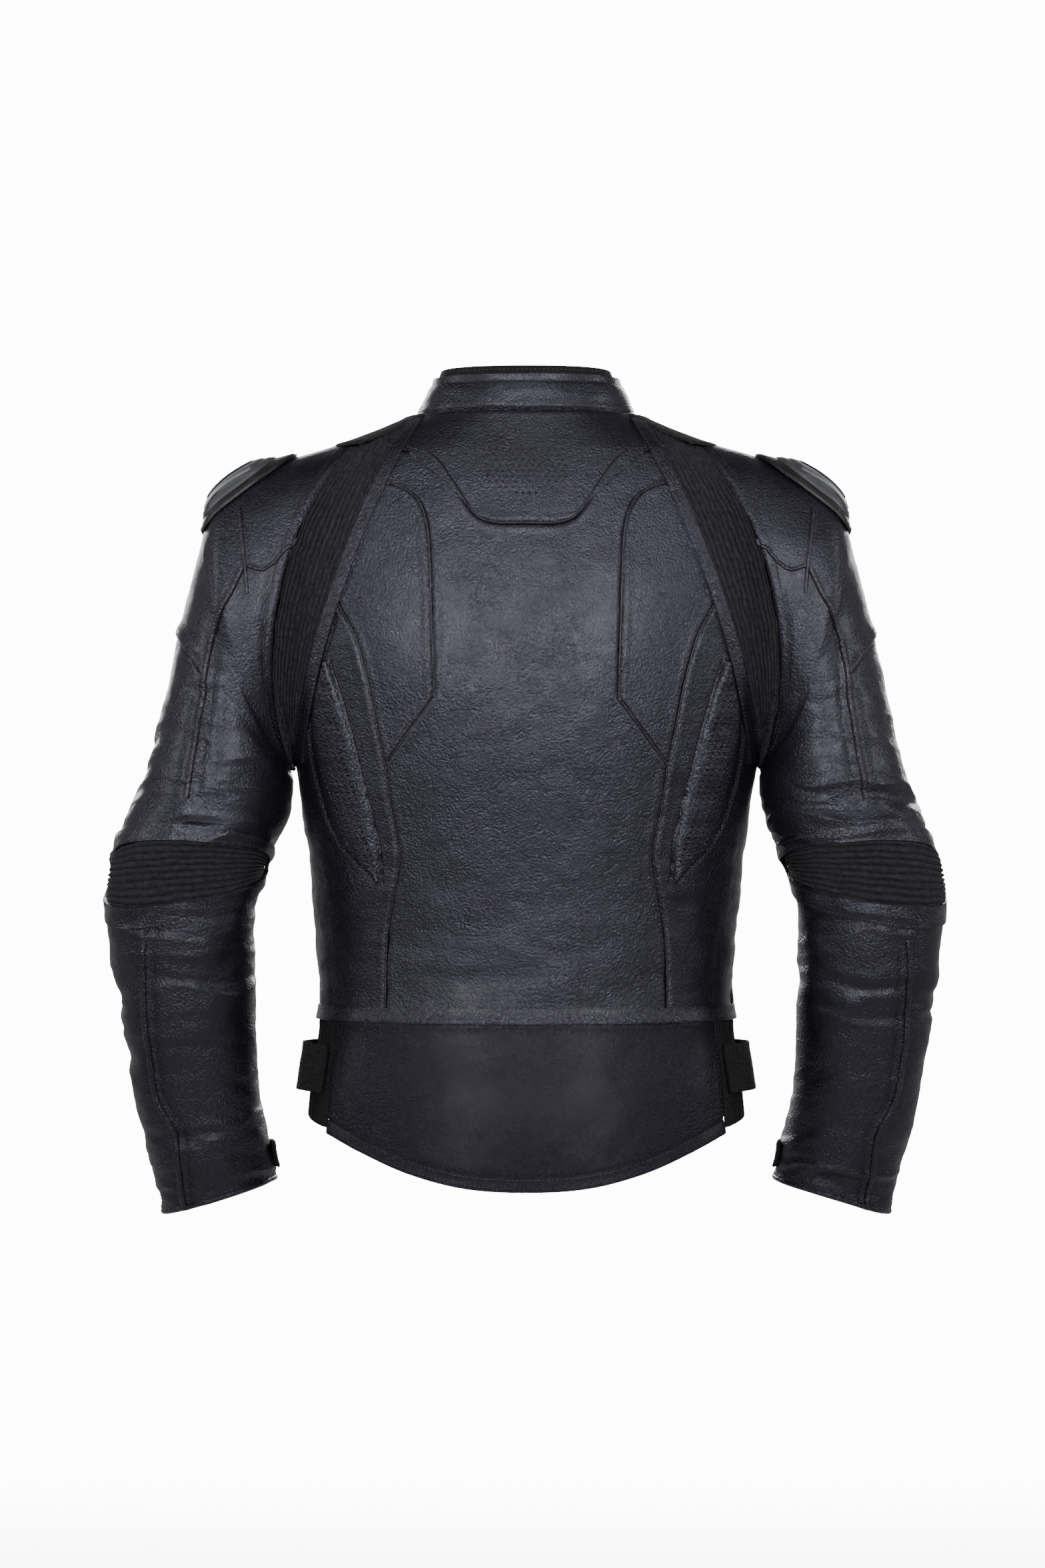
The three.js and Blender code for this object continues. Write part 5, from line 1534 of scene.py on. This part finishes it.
# ---- Cuffs
# The end of each sleeve is bound with a rolled edge and stitched. A hook-and-loop tab sewn to the inner
# wrist closes it.
for side, hand in SIDES:
    fore_tree = surface_of(made("lower_sleeve_" + hand))
    turns = np.linspace(0, 360, 241)[:-1]
    rolled, normals = sleeve_path(np.stack([turns, np.full(240, CUFF - 0.06)], -1), side)
    dropped, normals = settle(rolled, normals, fore_tree)
    binding = bead("cuff_binding_" + hand, [dropped - normals * 0.8 * MM], 2.7, hide_edge, closed=True,
                   resolution=3)
    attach(binding, "forearm_" + hand)
    rows = []
    for ring in (CUFF - 0.34, CUFF - 0.6):
        path, normals = sleeve_path(np.stack([turns, np.full(240, ring)], -1), side)
        rows.append(along_surface(path, normals, fore_tree))
    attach(stitch("stitches_cuff_" + hand, rows, fore_tree), "forearm_" + hand)

    def tab_shape(u, v):
        round_end = 5 * (2 * np.abs(v - 0.5)) ** 4
        return (166 + round_end) + (236 - 166 - round_end) * u, 16.85 + 0.75 * v

    tab = lay_panel("cuff_tab_" + hand, on_sleeve, tab_shape, 70, 30, sleeve_axis,
                    lambda grid: MM * (3.6 + 0.4 * ripple(grid["p"], 40, (1, 1, 1), side)
                                       + 2.0 * np.clip(1 - grid["u"] * 3, 0, 1) ** 2),
                    turned="ltb", turn_depth=0.6, side=side, wall=2.4)
    dress(tab, loop_pile)
    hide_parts("cuff_tab_" + hand)
    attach(tab, "cuff_tab_" + hand)
    rows = stitch("stitches_cuff_tab_" + hand, [inset("cuff_tab_" + hand, b, 2.4) for b in "ltb"],
                  surface_of(tab))
    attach(rows, "cuff_tab_" + hand)

# ---- Shoulder cups
# A moulded cup caps each shoulder: a soft flange stitched to the leather, a raised matt shell, a carbon-
# look insert and a silver strip, all bonded together.
def moulded(name, tone, rough, metal=0.0, weave=False):
    material = bpy.data.materials.new(name)
    material.use_nodes = True
    tree = material.node_tree
    surface = tree.nodes["Principled BSDF"]
    where = wired(tree, "ShaderNodeTexCoord").outputs["Object"]
    speck = wired(tree, "ShaderNodeTexNoise", {"Vector": where, "Scale": 2200, "Detail": 2})
    smear = wired(tree, "ShaderNodeTexNoise", {"Vector": where, "Scale": 60, "Detail": 5, "Roughness": 0.65})
    if weave:
        uv = wired(tree, "ShaderNodeUVMap", uv_map="UVMap").outputs["UV"]
        twill = wired(tree, "ShaderNodeTexChecker", {"Vector": uv, "Scale": 30})
        tint = ramp(tree, twill.outputs["Fac"],
                    [(0.0, tuple(0.6 * c for c in tone)), (1.0, tuple(1.7 * c for c in tone))])
    else:
        tint = ramp(tree, smear.outputs["Fac"],
                    [(0.3, tuple(0.85 * c for c in tone)), (0.7, tuple(1.15 * c for c in tone))])
    tree.links.new(tint.outputs["Color"], surface.inputs["Base Color"])
    polish = ramp(tree, smear.outputs["Fac"], [(0.3, rough - 0.06), (0.7, rough + 0.08)])
    tree.links.new(polish.outputs["Color"], surface.inputs["Roughness"])
    surface.inputs["Metallic"].default_value = metal
    bump = wired(tree, "ShaderNodeBump", {"Height": speck.outputs["Fac"], "Strength": 0.15,
                                          "Distance": 0.0003})
    tree.links.new(bump.outputs[0], surface.inputs["Normal"])
    return material


cup_grey = moulded("cup_matt_grey", (0.050, 0.051, 0.056), 0.5)
cup_rim = moulded("cup_rim_rubber", (0.010, 0.010, 0.011), 0.52)
cup_weave = moulded("cup_carbon_look", (0.014, 0.015, 0.017), 0.25, weave=True)
silver = moulded("cup_silver_strip", (0.42, 0.43, 0.45), 0.36, metal=0.8)


def rounded(u, v, a0, a1, b0, b1, square=0.92, skew=0.0):
    """Corners of a patch whose outline is a square with well rounded corners."""
    x, y = 2 * u - 1, 2 * v - 1
    px, py = x * np.sqrt(1 - square * y**2 / 2), y * np.sqrt(1 - square * x**2 / 2)
    return (a0 + a1) / 2 + (a1 - a0) / 2 * px + skew * py, (b0 + b1) / 2 + (b1 - b0) / 2 * py


def rim_distance(grid):
    return np.minimum.reduce([grid["edges"][b] for b in "lrtb"]) / MM


def flange_relief(grid):
    d = rim_distance(grid)
    return MM * (2.0 + 1.5 * np.clip(d / 2.2, 0, 1) ** 0.6 - 0.8 * bell(d - 4.2, 1.0))


def shell_relief(grid):
    d = rim_distance(grid)
    dome = 4.2 * np.clip(d / 15, 0, 1) ** 0.55
    channel = 0.9 * bell(d - 8.5, 1.2)
    return MM * (3.4 + dome - channel)


for side, hand in SIDES:
    flange = lay_panel("cup_flange_" + hand, on_sleeve,
                       lambda u, v: rounded(u, v, -38, 36, 2.1, 5.35, skew=-3), 62, 46,
                       sleeve_axis, flange_relief, turned="", side=side, wall=2.2)
    dress(flange, cup_rim)
    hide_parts("cup_base_" + hand)
    shell = lay_panel("cup_shell_" + hand, on_sleeve,
                      lambda u, v: rounded(u, v, -31, 29.5, 2.5, 4.98, skew=-3), 62, 52,
                      sleeve_axis, shell_relief, turned="", side=side, wall=2.8)
    dress(shell, cup_grey)
    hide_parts("cup_shell_" + hand)
    insert = lay_panel("cup_insert_" + hand, on_sleeve,
                       lambda u, v: rounded(u, v, -10, 17 - 9 * (1 - v), 2.95, 4.35, 0.4, skew=-2), 24, 24,
                       sleeve_axis,
                       lambda grid: MM * (8.0 + 0.6 * np.clip(rim_distance(grid) / 1.5, 0, 1)), turned="",
                       side=side, wall=1.4)
    dress(insert, cup_weave)
    strip = lay_panel("cup_strip_" + hand, on_sleeve,
                      lambda u, v: (20.5 + 2.0 * u, 2.95 + 1.45 * v), 6, 50, sleeve_axis,
                      lambda grid: MM * (8.1 + 0 * grid["u"]), turned="", side=side, wall=1.2)
    dress(strip, silver)
    rows = stitch("stitches_cup_" + hand, [inset("cup_flange_" + hand, b, 3.0) for b in "lrtb"],
                  surface_of(flange))
    for piece in (flange, shell, insert, strip, rows):
        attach(piece, "upper_arm_" + hand)

# ---- Zip
# The front zip is undone. Each tape is sewn under the edge of its front and carries moulded black teeth;
# the slider and its pull hang at the bottom of one side.
tape_cloth = ribbed("zip_tape_weave", 0, tone=(0.006, 0.006, 0.007))
dark_metal = moulded("zip_gunmetal", (0.10, 0.10, 0.105), 0.30, metal=0.95)
tooth_resin = moulded("zip_tooth_resin", (0.012, 0.012, 0.013), 0.34)
ZIP_TOP, ZIP_LOW, TOOTH_PITCH = -84, -558, 3.0


def on_front(x, z):
    """The skin of the fronts, by width and height."""
    return np.stack([x + 0 * z, trunk_y(x, z, True), z + 0 * x], -1)


def front_axis(a, b):
    return np.stack([a, 0 * a - 1.0, b], -1)


for side, hand in SIDES:
    tape = lay_panel("zip_tape_" + hand, on_front,
                     lambda u, v: ((6.0 + 15.5 * u) * MM * wide,
                                   (ZIP_TOP - 4 + (ZIP_LOW - ZIP_TOP + 4) * v) * MM * long),
                     14, 150, front_axis, lambda grid: MM
                     * (-2.1 + 0.15 * ripple(grid["p"], 60, (1, 1, 1), side)), turned="",
                     side=side, wall=0.9)
    dress(tape, tape_cloth)
    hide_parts("zip_tape_" + hand)
    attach(tape, "front_" + hand)
    teeth_bm = bmesh.new()
    for k in range(int((ZIP_TOP - ZIP_LOW - 6) / TOOTH_PITCH)):
        z = (ZIP_TOP - 3 - k * TOOTH_PITCH - (side < 0) * TOOTH_PITCH / 2) * MM * long
        x = 5.2 * MM * wide
        y = float(trunk_y(np.array([x]), np.array([z]), True)[0]) - 2.0 * MM
        tooth = bmesh.ops.create_cube(teeth_bm, size=1,
                                      matrix=Matrix.Translation((x * side, y, z)) @ Matrix.Diagonal(
            (4.6 * MM, 3.0 * MM, 1.7 * MM, 1)))
        nose = [v for v in tooth["verts"] if abs(v.co.x) < x]
        bmesh.ops.scale(teeth_bm, vec=(1, 0.7, 1.25), space=Matrix.Translation((-x * side, -y, -z)),
                        verts=nose)
    bmesh.ops.bevel(teeth_bm, geom=list(teeth_bm.edges), offset=0.35 * MM, segments=1, profile=0.5,
                    affect="EDGES",
                    material=-1)
    teeth_mesh = bpy.data.meshes.new("zip_teeth_" + hand)
    teeth_bm.to_mesh(teeth_mesh)
    teeth_bm.free()
    teeth = bpy.data.objects.new("zip_teeth_" + hand, teeth_mesh)
    bpy.context.scene.collection.objects.link(teeth)
    dress(teeth, tooth_resin)
    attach(teeth, "front_" + hand)

# The slider, the pulls and the pocket sliders are cast and plated dark.
for node in ("zip_slider", "zip_pull", "pocket_slider_right", "pocket_slider_left"):
    cast = bpy.data.objects[node]
    for k in range(len(cast.material_slots)):
        cast.material_slots[k].material = dark_metal

# ---- Wind flap
# A flap of leather behind the zip keeps the wind out. It is sewn to the left front along the zip tape and
# hangs free across the gap.
flap = lay_panel("wind_flap", on_front,
                 lambda u, v: ((-34 + 35.7 * u) * MM * wide, (-92 + (-550 + 92) * v) * MM * long), 24, 150,
                 front_axis,
                 lambda grid: MM * (-9.0 + 0.5 * ripple(grid["p"], 18, (1, 1, 1), 4.0)), turned="", wall=2.0)
dress(flap, hide)
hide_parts("wind_flap")
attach(flap, "front_left")

# ---- Pocket zips
# A slanted zip with folded leather lips closes each hand pocket. Both lips are stitched down along their
# outer edges.
slant = math.radians(7)
for side, hand in SIDES:
    low_box, high_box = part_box("pocket_zip_" + hand)
    middle_x, middle_z = abs((low_box.x + high_box.x) / 2), (low_box.z + high_box.z) / 2

    def pocket_form(across, up, middle_x=middle_x, middle_z=middle_z):
        x = middle_x + across * math.cos(slant) - up * math.sin(slant)
        z = middle_z + across * math.sin(slant) + up * math.cos(slant)
        return np.stack([x, trunk_y(x, z, True), z], -1)

    welt = lay_panel("pocket_zip_" + hand, pocket_form,
                     lambda u, v: ((-0.0085 + 0.017 * u), (0.0625 - 0.125 * v)), 34, 90, front_axis,
                     lambda grid: MM * (3.0 + 0.9 * bell(np.abs(grid["u"] - 0.5) - 0.30, 0.13)
                                        - 2.2 * (np.abs(grid["u"] - 0.5) < 0.13)), turned="lrtb", side=side,
                     wall=3.2)
    dress(welt, hide_edge)
    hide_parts("pocket_zip_" + hand)
    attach(welt, "body")
    rows = stitch("stitches_pocket_" + hand, [inset("pocket_zip_" + hand, b, 1.6) for b in "lr"],
                  surface_of(welt))
    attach(rows, "body")
    coil_bm = bmesh.new()
    for k in range(60):
        up = 0.058 - k * 0.00195
        spot = pocket_form(np.array([0.0]), np.array([up]))[0] + np.array((0, 0.0016, 0))
        bmesh.ops.create_cube(coil_bm, size=1,
                              matrix=Matrix.Translation((spot[0] * side, spot[1], spot[2])) @ Matrix.Diagonal(
            (3.6 * MM, 1.6 * MM, 1.1 * MM, 1)))
    bmesh.ops.bevel(coil_bm, geom=list(coil_bm.edges), offset=0.25 * MM, segments=1, profile=0.5,
                    affect="EDGES", material=-1)
    coil_mesh = bpy.data.meshes.new("pocket_teeth_" + hand)
    coil_bm.to_mesh(coil_mesh)
    coil_bm.free()
    coil = bpy.data.objects.new("pocket_teeth_" + hand, coil_mesh)
    bpy.context.scene.collection.objects.link(coil)
    dress(coil, tooth_resin)
    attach(coil, "body")

# ---- Linings
# A smooth black mesh lining hangs a few millimetres inside the leather of the trunk and the sleeves. It is
# sewn in at the neck, the zip and the cuffs.
def lining_cloth(name):
    material = bpy.data.materials.new(name)
    material.use_nodes = True
    tree = material.node_tree
    surface = tree.nodes["Principled BSDF"]
    where = wired(tree, "ShaderNodeTexCoord").outputs["Object"]
    mesh_cells = wired(tree, "ShaderNodeTexVoronoi", {"Vector": where, "Scale": 420, "Randomness": 0.15})
    crumple = wired(tree, "ShaderNodeTexNoise", {"Vector": where, "Scale": 30, "Detail": 4})
    # The mesh's openings are painted near black: partly the dark leather behind them, partly painted shade
    # between the threads.
    tint = ramp(tree, mesh_cells.outputs["Distance"],
                [(0.12, (0.004, 0.004, 0.005)), (0.3, (0.020, 0.021, 0.023))])
    tree.links.new(tint.outputs["Color"], surface.inputs["Base Color"])
    dull = ramp(tree, crumple.outputs["Fac"], [(0.3, 0.62), (0.7, 0.82)])
    tree.links.new(dull.outputs["Color"], surface.inputs["Roughness"])
    surface.inputs["Sheen Weight"].default_value = 0.15
    holes = wired(tree, "ShaderNodeBump", {"Height": mesh_cells.outputs["Distance"], "Strength": 0.5,
                                           "Distance": 0.0005})
    folds = wired(tree, "ShaderNodeBump", {"Height": crumple.outputs["Fac"], "Strength": 0.5,
                                           "Distance": 0.004,
                                           "Normal": holes.outputs[0]})
    tree.links.new(folds.outputs[0], surface.inputs["Normal"])
    return material


lining = lining_cloth("mesh_lining")
lining_side = joined(raglan_between(-1, -287),
                     np.stack([np.full(60, 90.0), np.linspace(-0.288 * long, -0.575 * long, 60)], -1))
back_lining = lay_panel("lining_back", on_trunk, four_sided(
    mirror(lining_side), lining_side, yoke_top,
        np.stack([np.linspace(-90, 90, 60), np.full(60, -0.575 * long)], -1)),
    60, 80, trunk_axis, lambda grid: MM * (-7.5 + 0.8 * ripple(grid["p"], 15, (1, 1, 0.6), 3.0)), turned="",
                        wall=1.2)
dress(back_lining, lining)
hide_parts("lining_back")
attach(back_lining, "body")
for side, hand in SIDES:
    front_lining = lay_panel("front_lining_" + hand, on_trunk, front_rows(ZIP_EDGE + 3, -550), 40, 80,
                             trunk_axis,
                             lambda grid: MM * (-7.5 + 0.8 * ripple(grid["p"], 15, (1, 1, 0.6), 5.0 * side)),
                             turned="",
                             side=side, wall=1.2)
    dress(front_lining, lining)
    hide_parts("front_lining_" + hand)
    bend_front(front_lining, side, hand)
    for part, start, stop, body in (("upper", 2.6, 10.55, "upper_arm_"), ("lower", 13.25, 17.75, "forearm_")):
        inside = lay_panel(f"lining_{part}_sleeve_{hand}", on_sleeve,
                           lambda u, v, start=start, stop=stop: (360 * u, start + (stop - start) * v), 70,
                           50, sleeve_axis,
                           lambda grid: MM * (-8.0 + 0.9 * ripple(grid["p"], 22, (1, 1, 1), 5.0 * side)),
                           turned="",
                           side=side, wall=1.2, closed=True)
        dress(inside, lining)
        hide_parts(f"lining_{part}_sleeve_{hand}")
        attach(inside, body + hand)

# ---- Hanger loop
# A short loop of black tape inside the collar at the centre back, both ends caught in the collar seam. The
# jacket hangs from it.
loop_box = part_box("hanger_loop")


def on_loop(a, b):
    k = a * math.pi
    middle = (loop_box[0] + loop_box[1]) / 2
    return np.stack([-np.cos(k) * (loop_box[1].x - 0.001), middle.y + 0.0015 * np.sin(k) + 0 * b,
                     loop_box[1].z - 0.003 - 0.0065 * np.clip(np.sin(k), 0, 1) ** 0.7 + 0.0032 * b], -1)


loop_tape = lay_panel("hanger_loop", on_loop, lambda u, v: (0.02 + 0.96 * u, 1 - 2 * v), 60, 8,
                      lambda a, b: np.stack([0 * a, 0 * a - 1.0, 0 * a], -1), None, turned="", wall=1.0)
dress(loop_tape, tape_cloth)
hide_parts("hanger_loop")
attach(loop_tape, "body")

# ---- Protectors
# Slabs of closed-cell foam, moulded with a fine cellular skin. They sit in pockets of the lining at the
# back and the elbows.
def foam(name):
    material = bpy.data.materials.new(name)
    material.use_nodes = True
    tree = material.node_tree
    surface = tree.nodes["Principled BSDF"]
    where = wired(tree, "ShaderNodeTexCoord").outputs["Object"]
    pits = wired(tree, "ShaderNodeTexVoronoi", {"Vector": where, "Scale": 160, "Randomness": 0.2})
    skin = wired(tree, "ShaderNodeTexNoise", {"Vector": where, "Scale": 900, "Detail": 3})
    # The pits are painted darker than the skin between them: painted shade in the pits.
    tint = ramp(tree, pits.outputs["Distance"], [(0.2, (0.010, 0.010, 0.011)), (0.45, (0.035, 0.036, 0.038))])
    tree.links.new(tint.outputs["Color"], surface.inputs["Base Color"])
    dull = ramp(tree, skin.outputs["Fac"], [(0.3, 0.7), (0.7, 0.9)])
    tree.links.new(dull.outputs["Color"], surface.inputs["Roughness"])
    bump = wired(tree, "ShaderNodeBump", {"Height": pits.outputs["Distance"], "Strength": 0.8,
                                          "Distance": 0.001})
    tree.links.new(bump.outputs[0], surface.inputs["Normal"])
    return material


foam_skin = foam("protector_foam_skin")
for node in ("back_protector", "elbow_protector_right", "elbow_protector_left"):
    slab = bpy.data.objects[node]
    for k in range(len(slab.material_slots)):
        slab.material_slots[k].material = foam_skin
